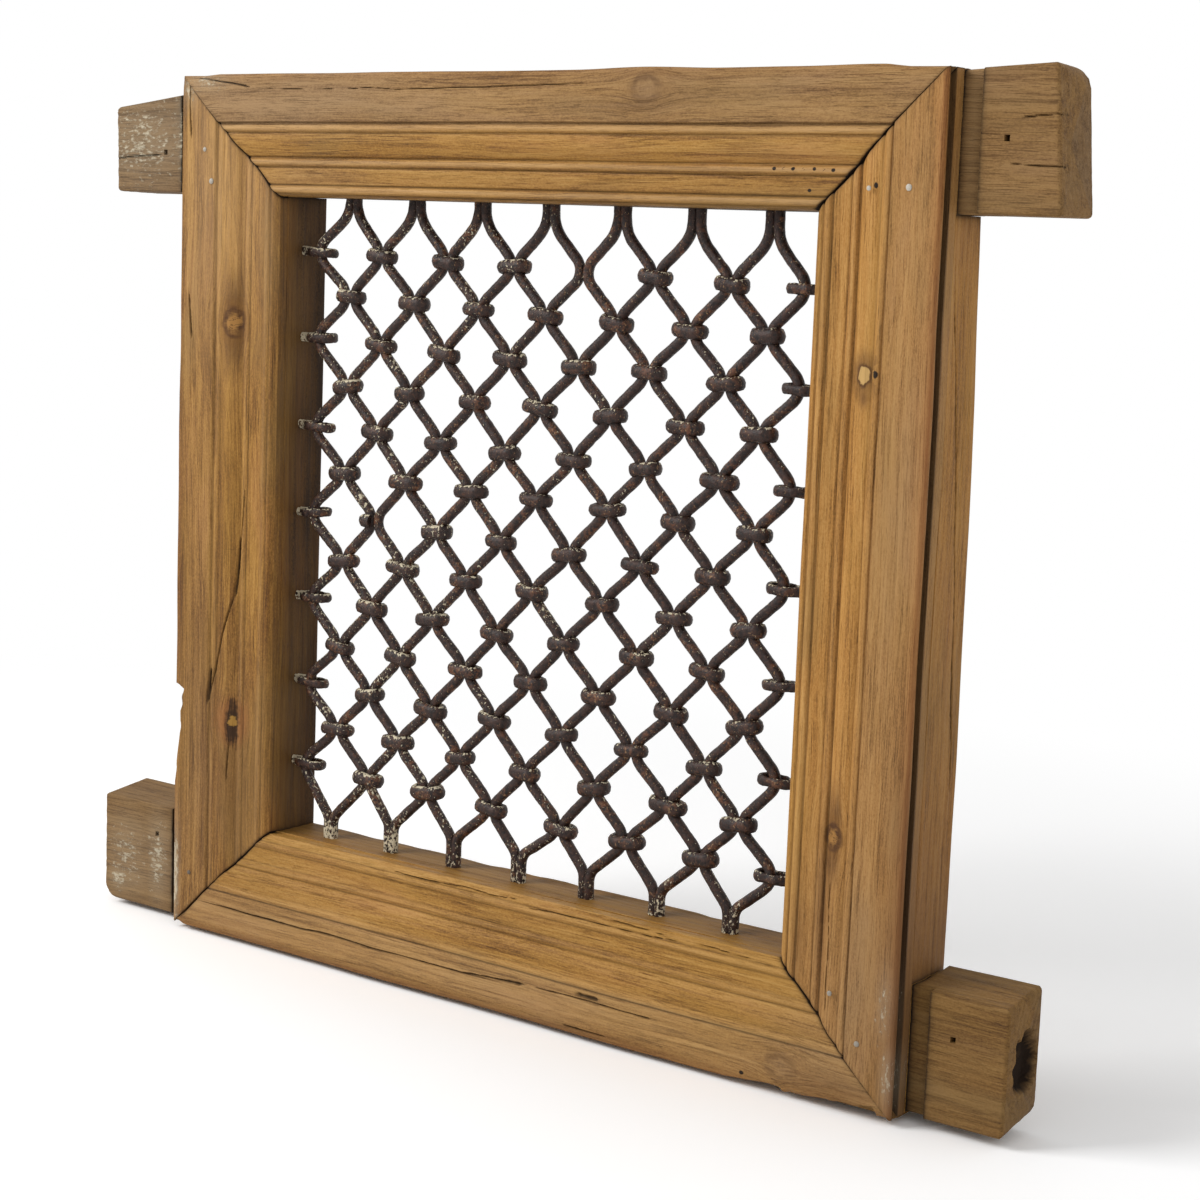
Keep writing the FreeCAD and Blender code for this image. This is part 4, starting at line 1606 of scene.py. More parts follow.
class ForgedSweep(PointGraph):
    """Geometry Nodes tree: an oval section swept along a path, set at each point, then hammered."""

    KINDS = {
        SweepInput.PATH: "NodeSocketObject",
        SweepInput.LEVEL: "NodeSocketBool",
        SweepInput.SEED: "NodeSocketInt",
        SweepInput.MATERIAL: "NodeSocketMaterial",
    }
    SIDES = 12

    def __init__(self) -> None:
        """Build the tree."""
        super().__init__("forged_sweep", SweepInput, self.KINDS)
        placed = self._placed(self._swept())
        position = self.add("GeometryNodeInputPosition")
        normal = self.add("GeometryNodeInputNormal")
        blows = self.noise(position.scaled(self.take[SweepInput.GRAIN]), 2.0) - 0.5
        lift = normal.scaled(blows * self.take[SweepInput.HAMMER] * 2)
        self.close(placed, lift, self.take[SweepInput.MATERIAL])

    def _swept(self) -> Pin:
        """Section swept along the path; a path point's radius is its share of the bend radius.

        Returns:
            The swept mesh.
        """
        info = {"Object": self.take[SweepInput.PATH]}
        path = self.add("GeometryNodeObjectInfo", {"transform_space": "ORIGINAL"}, info, "Geometry")
        bend = self.add("GeometryNodeInputRadius") * self.take[SweepInput.BEND]
        bent = self.add(
            "GeometryNodeFilletCurve", {"mode": "POLY"},
            {"Curve": path, "Count": 7, "Radius": bend, "Limit Radius": True},
        )
        step = {"Curve": bent, "Length": self.take[SweepInput.STEP]}
        even = self.add("GeometryNodeResampleCurve", {"mode": "LENGTH"}, step)
        modes = {"False": "MINIMUM_TWIST", "True": "Z_UP"}
        turned = {
            key: self.add("GeometryNodeSetCurveNormal", {"mode": mode}, {"Curve": even})
            for key, mode in modes.items()
        }
        choice = {"Switch": self.take[SweepInput.LEVEL], **turned}
        even = self.add("GeometryNodeSwitch", {"input_type": "GEOMETRY"}, choice)
        place = self.add("GeometryNodeSplineParameter", {}, {}, "Factor")
        size = 1 - self.take[SweepInput.TAPER] * (1 - abs(place * 2 - 1))
        even = self.add("GeometryNodeSetCurveRadius", {}, {"Curve": even, "Radius": size})
        ring = self.add("GeometryNodeCurvePrimitiveCircle", {}, {"Resolution": self.SIDES, "Radius": 0.5})
        sides = {0: self.take[SweepInput.WIDTH], 1: self.take[SweepInput.HEIGHT], 2: 1.0}
        oval = self.add("ShaderNodeCombineXYZ", {}, sides)
        section = self.add("GeometryNodeTransform", {}, {"Geometry": ring, "Scale": oval})
        tube = {"Curve": even, "Profile Curve": section, "Fill Caps": True}
        return self.add("GeometryNodeCurveToMesh", {}, tube)

    def _placed(self, swept: Pin) -> Pin:
        """The swept piece at every point, each turned and sized a little by chance.

        Args:
            swept: The piece.

        Returns:
            Real geometry of all pieces.
        """
        seed = self.take[SweepInput.SEED]
        tilt, size = self.same(self.take[SweepInput.TILT]), self.same(self.take[SweepInput.SIZE])
        turn = self.add(
            "FunctionNodeRandomValue", {"data_type": "FLOAT_VECTOR"},
            {0: tilt.stretched((-1, -1, -0.4)), 1: tilt.stretched((1, 1, 0.4)), "Seed": seed},
        )
        least, most = (size.stretched((sign, sign * 0.3, sign)).moved((1, 1, 1)) for sign in (-1, 1))
        scale = self.add(
            "FunctionNodeRandomValue", {"data_type": "FLOAT_VECTOR"}, {0: least, 1: most, "Seed": seed + 1}
        )
        return self.set_out(instance=swept, rotation=turn, scale=scale)

    def make(
        self,
        name: str,
        points: Sequence[Vector],
        path: Sequence[tuple[Vector, float]],
        cyclic: bool,
        values: Mapping[SweepInput, object],
    ) -> bpy.types.Object:
        """Sweep a piece along a path.

        Args:
            name: Name of the piece.
            points: Where the swept shape is set.
            path: Points of the path, each with its share of the bend radius.
            cyclic: Whether the path is a ring.
            values: The tree's inputs other than the path.

        Returns:
            The finished piece.
        """
        line = bpy.data.curves.new(f"{name}_path", "CURVE")
        line.dimensions = "3D"
        spline = line.splines.new("POLY")
        spline.points.add(len(path) - 1)
        for point, (place, share) in zip(spline.points, path):
            point.co = (*place, 1.0)
            point.radius = share
        spline.use_cyclic_u = cyclic
        guide = put(f"{name}_path", line)
        piece = self.run(name, points, {**values, SweepInput.PATH: guide})
        bpy.data.objects.remove(guide)
        return piece


@dataclass
class Grille:
    """Lattice of bent bars, collars and staples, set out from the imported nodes."""

    bar_finish: IronFinish = field(default_factory=IronFinish)
    collar_finish: IronFinish = field(default_factory=lambda: IronFinish(fleck_level=0.715, top_hold=0.17))
    bar_size: float = 8.1 * MM
    bend: float = 13 * MM
    head_bend: float = 2.1
    foot_bend: float = 1.0
    head_pinch: float = 0.85
    foot_pinch: float = 0.68
    sway: float = 0.8 * MM
    offset: float = 1.5 * MM
    squeeze: float = -3.0 * MM
    lean: float = 3.1 * MM
    bow: float = -2.6 * MM
    lift: float = 0.8 * MM
    foot_lift: float = 2.0 * MM
    foot_drag: float = -4.2 * MM
    foot_drops: tuple[float, ...] = (9 * MM, 3 * MM, 0.0, 0.0, 0.0, 0.0, 0.0)
    left_reach: float = -5.5 * MM
    collar_straight: float = 6.6 * MM
    collar_turn: float = 4.6 * MM
    strap: float = 7.0 * MM
    collar_height: float = 10.4 * MM
    staple_strap: float = 3.8 * MM
    staple_height: float = 7.2 * MM
    staple_noses: tuple[float, float] = (15.5 * MM, 13 * MM)
    staple_tail: float = 14 * MM
    staple_back: float = 2 * MM
    rows: int = 14
    pairs: int = 7
    missing_place: int = 3
    seed: int = 11

    def __post_init__(self) -> None:
        """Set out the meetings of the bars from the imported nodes."""
        first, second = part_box("collars_row_02"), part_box("collars_row_04")
        self.pitch_z = (first[0].z + first[1].z - second[0].z - second[1].z) / 4
        self.top_z = (first[0].z + first[1].z) / 2 + 2 * self.pitch_z
        self.y = (first[0].y + first[1].y) / 2
        left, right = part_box("bar_01"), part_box("bar_14")
        left_mate, right_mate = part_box("bar_02"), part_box("bar_13")
        stock = left[1].y - left[0].y
        self.half_pair = (left_mate[0].x - left[1].x + stock) / 2
        self.first_x = (left[1].x + left_mate[0].x) / 2
        self.pitch_x = ((right_mate[1].x + right[0].x) / 2 - self.first_x) / (self.pairs - 1)
        self.low_z, self.high_z = left[0].z, left[1].z
        self.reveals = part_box("left_stile")[1].x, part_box("right_stile")[0].x
        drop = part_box("left_staples")[1].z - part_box("right_staples")[1].z
        self.fall = drop / (self.pairs * self.pitch_x)
        self.overshoot = self._overshoot()
        chance = np.random.default_rng(self.seed)
        self.shifts = chance.normal(0, self.sway, (self.rows + 1, self.pairs + 1, 3)) * (1.0, 0.7, 1.2)
        self.sweep = ForgedSweep()
        self.bar_iron = self.bar_finish.material("bar_iron")
        self.collar_iron = self.collar_finish.material("collar_iron")

    def _overshoot(self) -> float:
        """How far past a meeting a bar's corner lies, so that its bend just touches the other bar.

        Returns:
            The distance.
        """
        past = 0.0
        for _ in range(40):
            slant = math.atan2(self.pitch_x / 2 + 2 * past, self.pitch_z)
            past = 0.5 * past + 0.5 * (self.bend * (1 / math.cos(slant) - 1) - self.half_pair)
        return past

    def meeting(self, row: int, place: int) -> Vector:
        """Where two bars meet.

        Args:
            row: Row counted down from the head.
            place: Pair in an even row; in an odd row the gap left of that pair.

        Returns:
            The middle of the meeting.
        """
        column = place - 0.5 * (row % 2)
        rise = 1 - 2 * row / self.rows
        share = column / (self.pairs - 1)
        wander = self.offset + self.squeeze * share + self.lean * rise
        wander += self.bow * (0.2 + 1.1 * share) * (1 - rise ** 2)
        if row == self.rows:
            wander += self.foot_drag
        if column < 0:
            wander += self.left_reach
        x = self.first_x + self.pitch_x * column + wander
        z = self.top_z - self.pitch_z * row - self.fall * self.pitch_x * (column - (self.pairs - 1) / 2)
        z += self.lift + self.foot_lift * (0.5 - 0.5 * rise) ** 2
        if row == self.rows:
            z -= self.foot_drops[place]
        shift = Vector() if row in (0, self.rows) else Vector(self.shifts[row, place])
        return Vector((x, self.y, z)) + shift

    def values(self, strap: bool, **changes: object) -> dict[SweepInput, object]:
        """Inputs of the tree for round bar stock or forged strap, with changes.

        Args:
            strap: Whether it is strap.
            changes: Values by the name of the input in lower case.

        Returns:
            A full set of inputs.
        """
        stock = {
            "width": self.bar_size, "height": self.bar_size, "bend": self.bend, "step": 1.6 * MM,
            "taper": 0.0, "level": False, "tilt": 0.0, "size": 0.0, "hammer": 0.5 * MM, "grain": 130.0,
            "seed": self.seed, "material": self.bar_iron,
        }
        if strap:
            stock |= {
                "width": self.strap, "height": self.collar_height, "bend": 0.0, "step": 1.5 * MM,
                "level": True, "hammer": 1.1 * MM, "grain": 150.0, "material": self.collar_iron,
            }
        return {SweepInput[name.upper()]: value for name, value in {**stock, **changes}.items()}

    def bar(self, pair: int, side: int) -> bpy.types.Object:
        """One bent bar, from meeting to meeting.

        Args:
            pair: Pair that the bar belongs to.
            side: -1 for the left bar of the pair, 1 for the right one.

        Returns:
            The piece.
        """
        aside = Vector((side * self.half_pair, 0, 0))
        sink = Vector((0, 0, self.half_pair * 2 * self.pitch_z / self.pitch_x))
        top = self.meeting(0, pair) + aside * self.head_pinch
        foot = self.meeting(self.rows, pair) + aside * self.foot_pinch
        path = [(Vector((top.x, top.y, self.high_z)), 0.0), (top - sink, self.head_bend)]
        for row in range(1, self.rows):
            swung = row % 2
            place = pair + swung * (side + 1) // 2
            past = Vector((self.overshoot * side * (2 * swung - 1), 0, 0))
            path.append((self.meeting(row, place) + past, 1.0))
        path += [(foot + sink, self.foot_bend), (Vector((foot.x, foot.y, self.low_z)), 0.0)]
        name = f"bar_{2 * pair + (side + 3) // 2:02d}"
        values = self.values(False, seed=pair * 2 + side)
        return ride(self.sweep.make(f"iron_{name}", [Vector()], path, False, values), "iron", name)

    def ring(self, broken: bool = False) -> list[tuple[Vector, float]]:
        """Path of a collar about two bars.

        Args:
            broken: Whether only its left part is left.

        Returns:
            Points of the path.
        """
        straight, turn = self.collar_straight, self.collar_turn
        angles = np.linspace(-math.pi / 2, math.pi / 2, 13)
        right = [(straight + turn * math.cos(a), turn * math.sin(a)) for a in angles]
        left = [(-straight - turn * math.cos(a), -turn * math.sin(a)) for a in angles]
        points = [(-0.3 * MM, turn), *left, (-1.2 * MM, -turn)] if broken else right + left
        return [(Vector((x, y, 0)), 0.0) for x, y in points]

    def collars(self, node: str, row: int, places: Sequence[int]) -> bpy.types.Object:
        """The collars of one node.

        Args:
            node: The node that they stand for.
            row: Row counted down from the head.
            places: Their places in the row.

        Returns:
            The piece.
        """
        points = [self.meeting(row, place) for place in places]
        values = self.values(True, tilt=0.15, size=0.09, seed=row * 17)
        return ride(self.sweep.make(f"iron_{node}", points, self.ring(), True, values), "iron", node)

    def broken_collar(self) -> bpy.types.Object:
        """The collar that has lost its right half.

        Returns:
            The piece.
        """
        place = self.meeting(self.rows // 2, 1)
        values = self.values(True, step=1.2 * MM, seed=5)
        piece = self.sweep.make("iron_broken_collar", [place], self.ring(broken=True), False, values)
        return ride(piece, "iron", "broken_collar")

    def staples(self, node: str, side: int) -> bpy.types.Object:
        """Column of U straps round an outer bar.

        Args:
            node: The node that they stand for.
            side: -1 for the left column, 1 for the right one.

        Returns:
            The piece.
        """
        column = (side + 1) // 2
        lean = Vector((-side * self.half_pair, 0, 0))
        points = [self.meeting(row, self.pairs * column) + lean for row in range(1, self.rows, 2)]
        reach = abs(points[0].x - self.reveals[column]) + self.staple_tail
        leg = self.bar_size / 2 + self.staple_strap / 2
        angles = np.linspace(-math.pi / 2, math.pi / 2, 11)
        nose = self.staple_noses[column] - leg
        bow = [(nose + leg * math.cos(a), leg * math.sin(a)) for a in angles]
        shank = self.staple_strap * 0.4
        lower = [(-reach, -shank), (-leg * 2.2, -shank), (-leg * 0.8, -leg)]
        outline = lower + bow + [(x, -y) for x, y in reversed(lower)]
        path = [(Vector((-side * x, y + self.staple_back, 0)), 0.0) for x, y in outline]
        values = self.values(
            True, width=self.staple_strap, height=self.staple_height,
            taper=0.4, tilt=0.07, size=0.05, seed=40 + side,
        )
        return ride(self.sweep.make(f"iron_{node}", points, path, False, values), "iron", node)

    def build(self) -> list[bpy.types.Object]:
        """Build all the iron.

        Returns:
            The pieces.
        """
        pieces = [self.bar(pair, side) for pair in range(self.pairs) for side in (-1, 1)]
        for row in range(1, self.rows):
            node = f"collars_row_{row:02d}"
            places = list(range(row % 2, self.pairs))
            if row == 1:
                pieces.append(self.collars(f"{node}_left", row, places[: self.missing_place]))
                pieces.append(self.collars(f"{node}_right", row, places[self.missing_place + 1 :]))
            elif row == self.rows // 2:
                pieces.append(self.collars(node, row, places[1:]))
            else:
                pieces.append(self.collars(node, row, places))
        pieces.append(self.broken_collar())
        pieces.append(self.staples("left_staples", -1))
        pieces.append(self.staples("right_staples", 1))
        return pieces


class NailInput(Enum):
    """Named inputs of the tree that sets out nail heads."""

    RADIUS = "Radius"
    FLATNESS = "Flatness"
    UNEVEN = "Uneven"
    SEED = "Seed"
    MATERIAL = "Material"


class NailTree(PointGraph):
    """Geometry Nodes tree: a worn dome at each point."""

    KINDS = {NailInput.SEED: "NodeSocketInt", NailInput.MATERIAL: "NodeSocketMaterial"}

    def __init__(self) -> None:
        """Build the tree."""
        super().__init__("nail_heads", NailInput, self.KINDS)
        round_head = {"Segments": 20, "Rings": 12, "Radius": self.take[NailInput.RADIUS]}
        dome = self.add("GeometryNodeMeshUVSphere", {}, round_head)
        flat = self.add("ShaderNodeCombineXYZ", {}, {0: 1.0, 1: self.take[NailInput.FLATNESS], 2: 1.0})
        spread = {2: 0.75, 3: 1.1, "Seed": self.take[NailInput.SEED]}
        size = self.same(self.add("FunctionNodeRandomValue", {"data_type": "FLOAT"}, spread, 1))
        heads = self.set_out(instance=dome, scale=size.stretched(flat))
        position = self.add("GeometryNodeInputPosition")
        blows = self.add("ShaderNodeTexNoise", {}, {"Vector": position, "Scale": 260.0}, 1)
        lift = blows.moved((-0.5, -0.5, -0.5)).scaled(self.take[NailInput.UNEVEN])
        self.close(heads, lift, self.take[NailInput.MATERIAL])


@dataclass
class Nails:
    """Domed heads of the corner nails."""

    finish: NailFinish = field(default_factory=NailFinish)
    radius: float = 2.2 * MM
    flatness: float = 0.4
    uneven: float = 0.5 * MM
    seed: int = 23

    def build(self, places: Sequence[Vector]) -> bpy.types.Object:
        """Set the nail heads.

        Args:
            places: Middle of each head.

        Returns:
            The piece.
        """
        values = {
            NailInput.RADIUS: self.radius,
            NailInput.FLATNESS: self.flatness,
            NailInput.UNEVEN: self.uneven,
            NailInput.SEED: self.seed,
            NailInput.MATERIAL: self.finish.material("nail_iron"),
        }
        return ride(NailTree().run("nail_heads", places, values), "nail", "corner_nails")


def ride(piece: bpy.types.Object, slot: str, *nodes: str) -> bpy.types.Object:
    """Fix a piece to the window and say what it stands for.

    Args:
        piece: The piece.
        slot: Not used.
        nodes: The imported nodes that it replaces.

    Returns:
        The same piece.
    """
    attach(piece, BODY)
    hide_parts(*nodes)
    LOG.info("%s stands for %s with %d faces", piece.name, ", ".join(nodes), len(piece.data.polygons))
    return piece


@dataclass
class WindowFrame:
    """The four members of the frame and the nails at its corners."""

    lap: float = 21 * MM
    ground: float = -4.4 * MM
    nail_proud: float = 0.1 * MM

    def __post_init__(self) -> None:
        """Read the frame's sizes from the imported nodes."""
        head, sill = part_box("head_rail"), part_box("sill_rail")
        left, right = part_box("left_stile"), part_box("right_stile")
        self.left, self.right = left[0].x, right[1].x
        self.bottom, self.top = sill[0].z, head[1].z
        self.head_face = head[1].z - head[0].z
        self.sill_face = sill[1].z - sill[0].z
        self.stile_face = left[1].x - left[0].x
        self.front = head[0].y
        self.thick = head[1].y - head[0].y
        self.tips = head[0].x, head[1].x
        self.mid_x = (self.left + self.right) / 2
        self.mid_z = (self.bottom + self.top) / 2

    def _shared(self) -> dict[str, float]:
        """Sizes that all members share."""
        return {"front": self.front, "lap": self.lap, "thick": self.thick}

    def _rail_sizes(self) -> dict[str, object]:
        """Sizes that both rails share."""
        return {
            "run": Run.ACROSS, "middle": self.mid_x, "half": (self.right - self.left) / 2,
            "cut_low": self.stile_face, "cut_high": self.stile_face, "tips": self.tips, **self._shared(),
        }

    def _stile_sizes(self) -> dict[str, object]:
        """Sizes that both stiles share."""
        return {
            "run": Run.UPRIGHT, "middle": self.mid_z, "half": (self.top - self.bottom) / 2,
            "face": self.stile_face, "cut_low": self.sill_face, "cut_high": self.head_face,
            **self._shared(),
        }

    def head(self) -> Rail:
        """Head rail: crisp moulding, greyed band, limed left horn cut away along its top.

        Returns:
            The member.
        """
        x = self.mid_x
        worm_holes = [(217, 66), (232, 66), (249, 66), (264, 66.5), (245, 80)]
        return Rail(
            node="head_rail", outer=self.top, inward=-1, face=self.head_face, seed=3,
            moulding=Moulding(
                arris=2.5 * MM, band=0.4, bead=0.078, ovolo=0.2, fillet=0.145, softness=0.35 * MM,
                cuts=(0.75, 0.8, 0.75, 0.9, 0.9, 1.0),
            ),
            finish=TeakFinish(level=0.56),
            swells=[Swell(x - 326 * MM, x + 320 * MM, 16 * MM, 1.4 * MM)],
            knots=[
                Knot(x + 112 * MM, 13 * MM, 9 * MM, KnotKind.FAINT),
                *[Knot(x + away * MM, down * MM, 1.3 * MM, KnotKind.WORM) for away, down in worm_holes],
            ],
            splits=cracks(x, (-336, -272, 1.5, 8.5, 0.8, 1.5), (-286, 75, 9.5, -1.5, 0.42, 1.2, 2.5)),
            limed=[
                *areas(x, (-322, 5, 24, 9, 0.6)),
                *areas(self.tips[0], (30, 52, 60, 44, 0.6), (80, 45, 16, 40, 0.66)),
            ],
            greyed=areas(x, (-230, 20, 120, 26, 0.45), (-215, 78, 60, 14, 0.4)),
            stained=areas(x, (112, 16, 40, 18, 0.3), (20, 80, 260, 13, 0.22)),
            horns=(
                Horn(33.5 * MM, cut_root=12 * MM, cut_tip=24 * MM, slant=-2 * MM, outer_round=8 * MM,
                     outer_back=8 * MM, inner_round=8 * MM, age=0.8, dirt=0.37),
                Horn(49 * MM, longer=-5 * MM, cut_root=1 * MM, cut_tip=-3.5 * MM, slant=8 * MM,
                     outer_round=4 * MM, outer_back=17 * MM, inner_round=4 * MM, age=0.55, dirt=0.18),
            ),
            bleached=areas(x, (358, 40, 8, 80, 0.5)),
            horn_splits=[
                *cracks(self.tips[0], (-5, 56, 66, -4, 0.8, 2)),
                *cracks(self.tips[1], (-42, 8, 61, 1, 0.5, 2), (-34, 8, 32, -3, 0.6, 2)),
            ],
            band_age=0.62, edge_wear=0.15, crest_wear_and_highlight=0.5, **self._rail_sizes(),
        )

    def sill(self) -> Rail:
        """Sill rail: moulding worn soft, rounded underside, chips and a long crack.

        Returns:
            The member.
        """
        x = self.mid_x
        return Rail(
            node="sill_rail", outer=self.bottom, inward=1, face=self.sill_face, seed=8,
            moulding=Moulding(
                arris=6 * MM, softness=1.5 * MM, bead_rise=1.7 * MM, quirk=0.8 * MM,
                cuts=(1.0, 0.3, 0.7, 0.4, 0.6, 0.5),
            ),
            finish=TeakFinish(level=0.59),
            swells=[Swell(x - 345 * MM, x + 268 * MM, 9 * MM, -self.ground)],
            splay=2.2 * MM,
            knots=[
                Knot(x + 261 * MM, 17.5 * MM, 9 * MM, KnotKind.FAINT),
                Knot(x + 229 * MM, 6 * MM, 1.6 * MM, KnotKind.WORM),
            ],
            losses=[
                Loss(x + 338 * MM, x + 272 * MM, 7 * MM, 10 * MM),
                Loss(x + 262 * MM, x + 215 * MM, 4 * MM, 8 * MM),
            ],
            splits=cracks(
                x, (-332, 16, 24, -0.5, 0.8, 2), (-30, 34, 24, 3, 1.6, 2), (79, 102, 30, 0.5, 1.8, 2),
                (34, 161, 28, -2, 0.5, 2), (67, 111, 4.5, 0, 0.7, 2), (-120, 30, 87, 1, 0.32, 2),
                (20, 170, 84, 2, 0.32, 2), (90, 235, 89, -2, 0.32, 2),
            ),
            limed=areas(
                self.tips[0], (22, 40, 30, 34, 0.58), (60, 44, 14, 38, 0.68), (12, 22, 14, 16, 0.7),
            ),
            stained=areas(x, (-60, 0, 330, 6, 0.6), (300, 8, 40, 14, 0.5), (-270, 52, 90, 40, 0.2)),
            greyed=areas(x, (290, 45, 50, 25, 0.4)),
            bleached=areas(x, (-90, 20, 330, 16, 0.26)),
            horns=(
                Horn(25.5 * MM, longer=6 * MM, rise=7 * MM, outer_round=18 * MM, outer_back=8 * MM,
                     inner_round=5 * MM, age=0.8, dirt=0.32),
                Horn(29.5 * MM, longer=-1.5 * MM, cut_root=2.5 * MM, cut_tip=2.5 * MM, rise=7 * MM,
                     outer_round=5 * MM, outer_back=18 * MM, inner_round=5 * MM, age=0.35, dirt=0.35,
                     hollow=8 * MM),
            ),
            relief=0.4 * MM, waviness=0.6 * MM, band_age=0.45, edge_wear=0.5, reveal=0.5, hewn=1.3 * MM,
            crest_wear_and_highlight=0.15, horn_rough=-0.2, **self._rail_sizes(),
        )

    def left_stile(self) -> Stile:
        """Left stile: soft moulding, a knot and a scar, a piece split from its edge, lime at both ends.

        Returns:
            The member.
        """
        return Stile(
            node="left_stile", outer=self.left, inward=1, seed=14,
            moulding=Moulding(
                arris=1.8 * MM, softness=1.0 * MM, bead_rise=1.1 * MM, quirk=0.6 * MM,
                cuts=(0.5, 0.1, 0.4, 0.6, 0.15, 0.6),
            ),
            swells=[Swell(-10 * MM, 696 * MM, 10 * MM, 1.2 * MM)],
            splay=4 * MM,
            knots=[
                Knot(505.5 * MM, 57.5 * MM, 11.5 * MM),
                Knot(180 * MM, 62 * MM, 9 * MM, KnotKind.SCAR),
            ],
            losses=[Loss(203.5 * MM, 121 * MM, 9 * MM, 21 * MM)],
            splits=cracks(
                0.0, (650, 697, 10, -2, 0.8, 2), (490, 528, 14, -4, 1.4, 2), (376, 280, 71, -9, 0.7, 2),
                (336, 280, 66.5, -5, 1.2, 2), (292, 194, 63, -26, 0.7, 2), (224, 192, 40, -2, 1.4, 2),
                (165, 130, 59, -1, 0.6, 2),
            ),
            limed=areas(0.0, (38, 2, 48, 5, 1.0), (690, 8, 16, 9, 0.65)),
            greyed=areas(0.0, (150, 40, 130, 40, 0.3)),
            bleached=areas(0.0, (610, 45, 120, 60, 0.32)),
            stained=areas(0.0, (130, 60, 80, 30, 0.28)),
            finish=TeakFinish(level=0.42),
            band_age=0.2, edge_wear=0.25, crest_wear_and_highlight=0.12, edge_wander=1.1 * MM, **self._stile_sizes(),
        )

    def right_stile(self) -> Stile:
        """Right stile: reddish rubbed arris, a pale plug, a knot and a crack that wanders down its side.

        Returns:
            The member.
        """
        return Stile(
            node="right_stile", outer=self.right, inward=-1, seed=21,
            moulding=Moulding(bead_rise=1.4 * MM, cuts=(0.65, 0.4, 0.85, 0.55, 0.8, 0.7)),
            finish=TeakFinish(level=0.63, pale=paint(192, 145, 82), honey=paint(169, 119, 58)),
            knots=[
                Knot(187 * MM, 58 * MM, 9.5 * MM),
                Knot(500.5 * MM, 52 * MM, 5.5 * MM, KnotKind.PLUG),
                Knot(624 * MM, 50 * MM, 1.8 * MM, KnotKind.WORM),
                Knot(501 * MM, 42.5 * MM, 2.2 * MM, KnotKind.WORM),
            ],
            splits=cracks(0.0, (60, 172, 57, 1, 0.6, 1.5)),
            side_splits=cracks(0.0, (590, 190, 21.5, 32, 0.9, 2, 6)),
            limed=areas(0.0, (80, 9, 26, 7, 0.55), (30, 4, 22, 6, 0.6)),
            greyed=areas(0.0, (360, 18, 260, 22, 0.25), (75, 50, 110, 48, 0.5)),
            stained=areas(
                0.0, (484, 51, 5, 4, 0.8), (135, 66, 60, 7, 0.6), (110, 84, 50, 5, 0.5),
                (60, -6, 190, 20, 0.85),
            ),
            belly=5.5 * MM, taper=8.5 * MM, belly_height=200 * MM,
            band_age=0.3, edge_wear=0.85, crest_wear_and_highlight=0.12, **self._stile_sizes(),
        )

    def nail_places(self) -> list[Vector]:
        """Middles of the nail heads, on the faces of the stiles.

        Returns:
            Seven places.
        """
        head, sill = self.top - self.head_face, self.bottom + self.sill_face
        y = self.front + self.nail_proud
        left = [(26, head + 35.5 * MM), (34, head + 10.5 * MM), (19, sill - 46 * MM)]
        right = [
            (24, head + 16.5 * MM), (54, head + 15.5 * MM),
            (28.5, sill - 43.5 * MM), (52, sill - 13 * MM),
        ]
        places = [Vector((self.left + inset * MM, y, z)) for inset, z in left]
        return places + [Vector((self.right - inset * MM, y, z)) for inset, z in right]

    def build(self) -> list[bpy.types.Object]:
        """Build the frame.

        Returns:
            The pieces.
        """
        members = [self.head(), self.sill(), self.left_stile(), self.right_stile()]
        pieces = [ride(member.build(), "teak", member.node) for member in members]
        pieces.append(Nails().build(self.nail_places()))
        return pieces


@dataclass(frozen=True)
class Viewpoint:
    """Camera at the photograph's angle."""

    azimuth: float = 37.08
    elevation: float = 8.29
    roll: float = 2.16
    distance: float = 1.77709
    target: tuple[float, float, float] = (0.09776, -0.031, 0.32606)
    lens: float = 74.1495
    sensor: float = 36.0
    near: float = 0.05

    def place(self) -> bpy.types.Object:
        """Set the camera up.

        Returns:
            The camera.
        """
        turn, rise, roll = (math.radians(angle) for angle in (self.azimuth, self.elevation, self.roll))
        back = Vector((math.sin(turn) * math.cos(rise), -math.cos(turn) * math.cos(rise), math.sin(rise)))
        level = Vector((math.cos(turn), math.sin(turn), 0))
        upright = back.cross(level)
        right = level * math.cos(roll) + upright * math.sin(roll)
        up = upright * math.cos(roll) - level * math.sin(roll)
        data = bpy.data.cameras.new("photo_camera")
        data.lens = self.lens
        data.sensor_width = self.sensor
        data.clip_start = self.near
        camera = put("photo_camera", data)
        matrix = Matrix((right, up, back)).transposed().to_4x4()
        matrix.translation = Vector(self.target) + back * self.distance
        camera.matrix_world = matrix
        bpy.context.scene.camera = camera
        return camera


@dataclass(frozen=True)
class Lamp:
    """A soft square studio lamp."""

    name: str
    place: tuple[float, float, float]
    aim: tuple[float, float, float]
    size: float
    power: float

    def hang(self) -> bpy.types.Object:
        """Hang the lamp.

        Returns:
            The lamp.
        """
        data = bpy.data.lights.new(self.name, "AREA")
        data.shape = "SQUARE"
        data.size = self.size
        data.energy = self.power
        lamp = put(self.name, data)
        lamp.location = self.place
        lamp.rotation_euler = (Vector(self.aim) - Vector(self.place)).to_track_quat("-Z", "Y").to_euler()
        return lamp


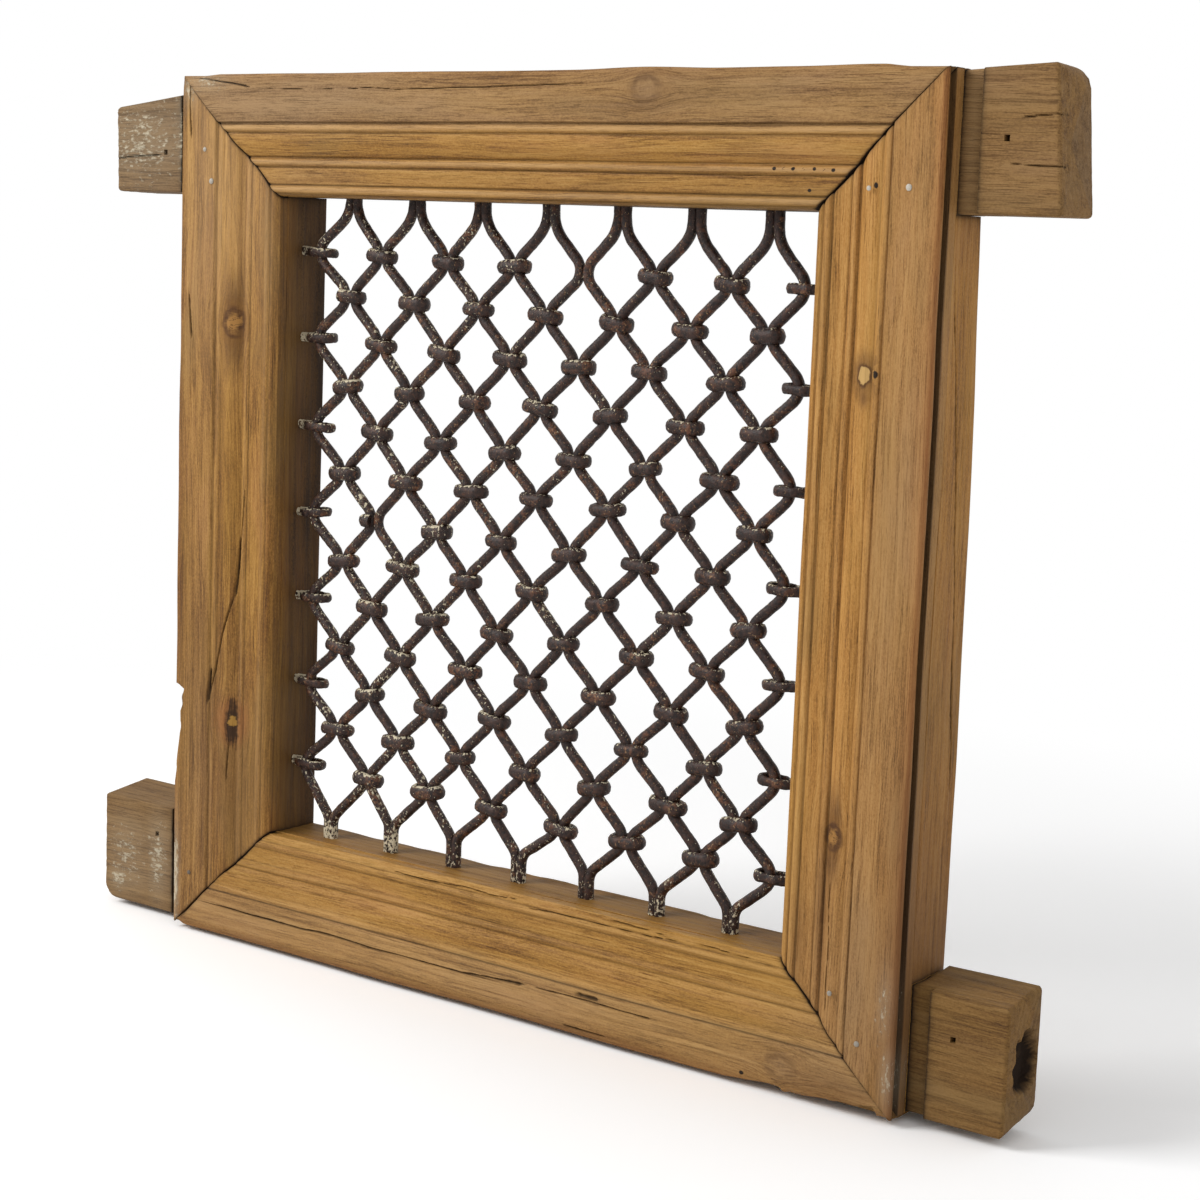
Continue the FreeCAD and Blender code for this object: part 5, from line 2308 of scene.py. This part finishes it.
@dataclass(frozen=True)
class Studio:
    """White sweep of floor, even sky and two soft lamps."""

    ground: float = WindowFrame.ground
    floor_half: float = 5.0
    floor_grey: float = 0.8
    floor_seen: float = 1.13
    fade_near: float = 0.75
    fade_far: float = 1.7
    fade_shape: tuple[float, float, float] = (1.0, 1.25, 0.0)
    sky: float = 0.6
    key: Lamp = Lamp("key_lamp", (-1.75, -1.75, 1.9), (0.0, 0.0, 0.3), 1.4, 60.0)
    fill: Lamp = Lamp("fill_lamp", (2.4, -1.2, 1.3), (0.0, 0.0, 0.3), 1.8, 7.5)

    def build(self) -> None:
        """Build floor, sky and lamps."""
        self._floor()
        self._sky()
        for lamp in (self.key, self.fill):
            lamp.hang()
        bpy.context.scene.view_settings.view_transform = "Standard"

    @staticmethod
    def _seen(graph: Graph) -> Pin:
        """Rays that should find plain white: straight, mirrored or passing through glass.

        Args:
            graph: The tree.

        Returns:
            1 for such rays.
        """
        kinds = ("Is Camera Ray", "Is Glossy Ray", "Is Transmission Ray")
        straight, mirrored, through = (graph.add("ShaderNodeLightPath", {}, {}, kind) for kind in kinds)
        return straight.larger(mirrored).larger(through)

    def _floor(self) -> None:
        """Pale floor that keeps the shadow near the window and fades to white further off."""
        half = self.floor_half
        ring = ((-half, -half), (half, -half), (half, half), (-half, half))
        corners = np.array([(x, y, self.ground) for x, y in ring])
        floor = mesh_object("studio_floor", corners, [(0, 1, 2, 3)])
        graph = MaterialGraph("pale_floor")
        place = graph.add("ShaderNodeTexCoord", {}, {}, "Object").stretched(self.fade_shape)
        far = graph.add("ShaderNodeVectorMath", {"operation": "LENGTH"}, {0: place}, 1)
        seen = self._seen(graph)
        pale = seen.blend((self.floor_grey,) * 3 + (1.0,), (self.floor_seen,) * 3 + (1.0,))
        matt = graph.add("ShaderNodeBsdfDiffuse", {}, {"Color": pale})
        white = graph.add("ShaderNodeEmission", {}, {"Color": (1.0, 1.0, 1.0, 1.0), "Strength": 1.0})
        away = far.ease(self.fade_near, self.fade_far) * seen
        mixed = graph.add("ShaderNodeMixShader", {}, {0: away, 1: matt, 2: white})
        graph.add("ShaderNodeOutputMaterial", {}, {0: mixed})
        floor.data.materials.append(graph.material)

    def _sky(self) -> None:
        """Even light all round, white where it is seen."""
        world = bpy.data.worlds.new("studio_sky")
        world.use_nodes = True
        world.node_tree.nodes.clear()
        graph = Graph(world.node_tree)
        level = self.sky + self._seen(graph) * (1.0 - self.sky)
        light = graph.add("ShaderNodeBackground", {}, {"Color": (1.0, 1.0, 1.0, 1.0), "Strength": level})
        graph.add("ShaderNodeOutputWorld", {}, {0: light})
        bpy.context.scene.world = world


def main() -> None:
    """Build the window and its studio."""
    logging.basicConfig(level=logging.INFO, format="%(name)s: %(message)s")
    pieces = WindowFrame().build() + Grille().build()
    LOG.info("%d pieces", len(pieces))
    Studio().build()
    Viewpoint().place()


if __name__ == "__main__":
    main()
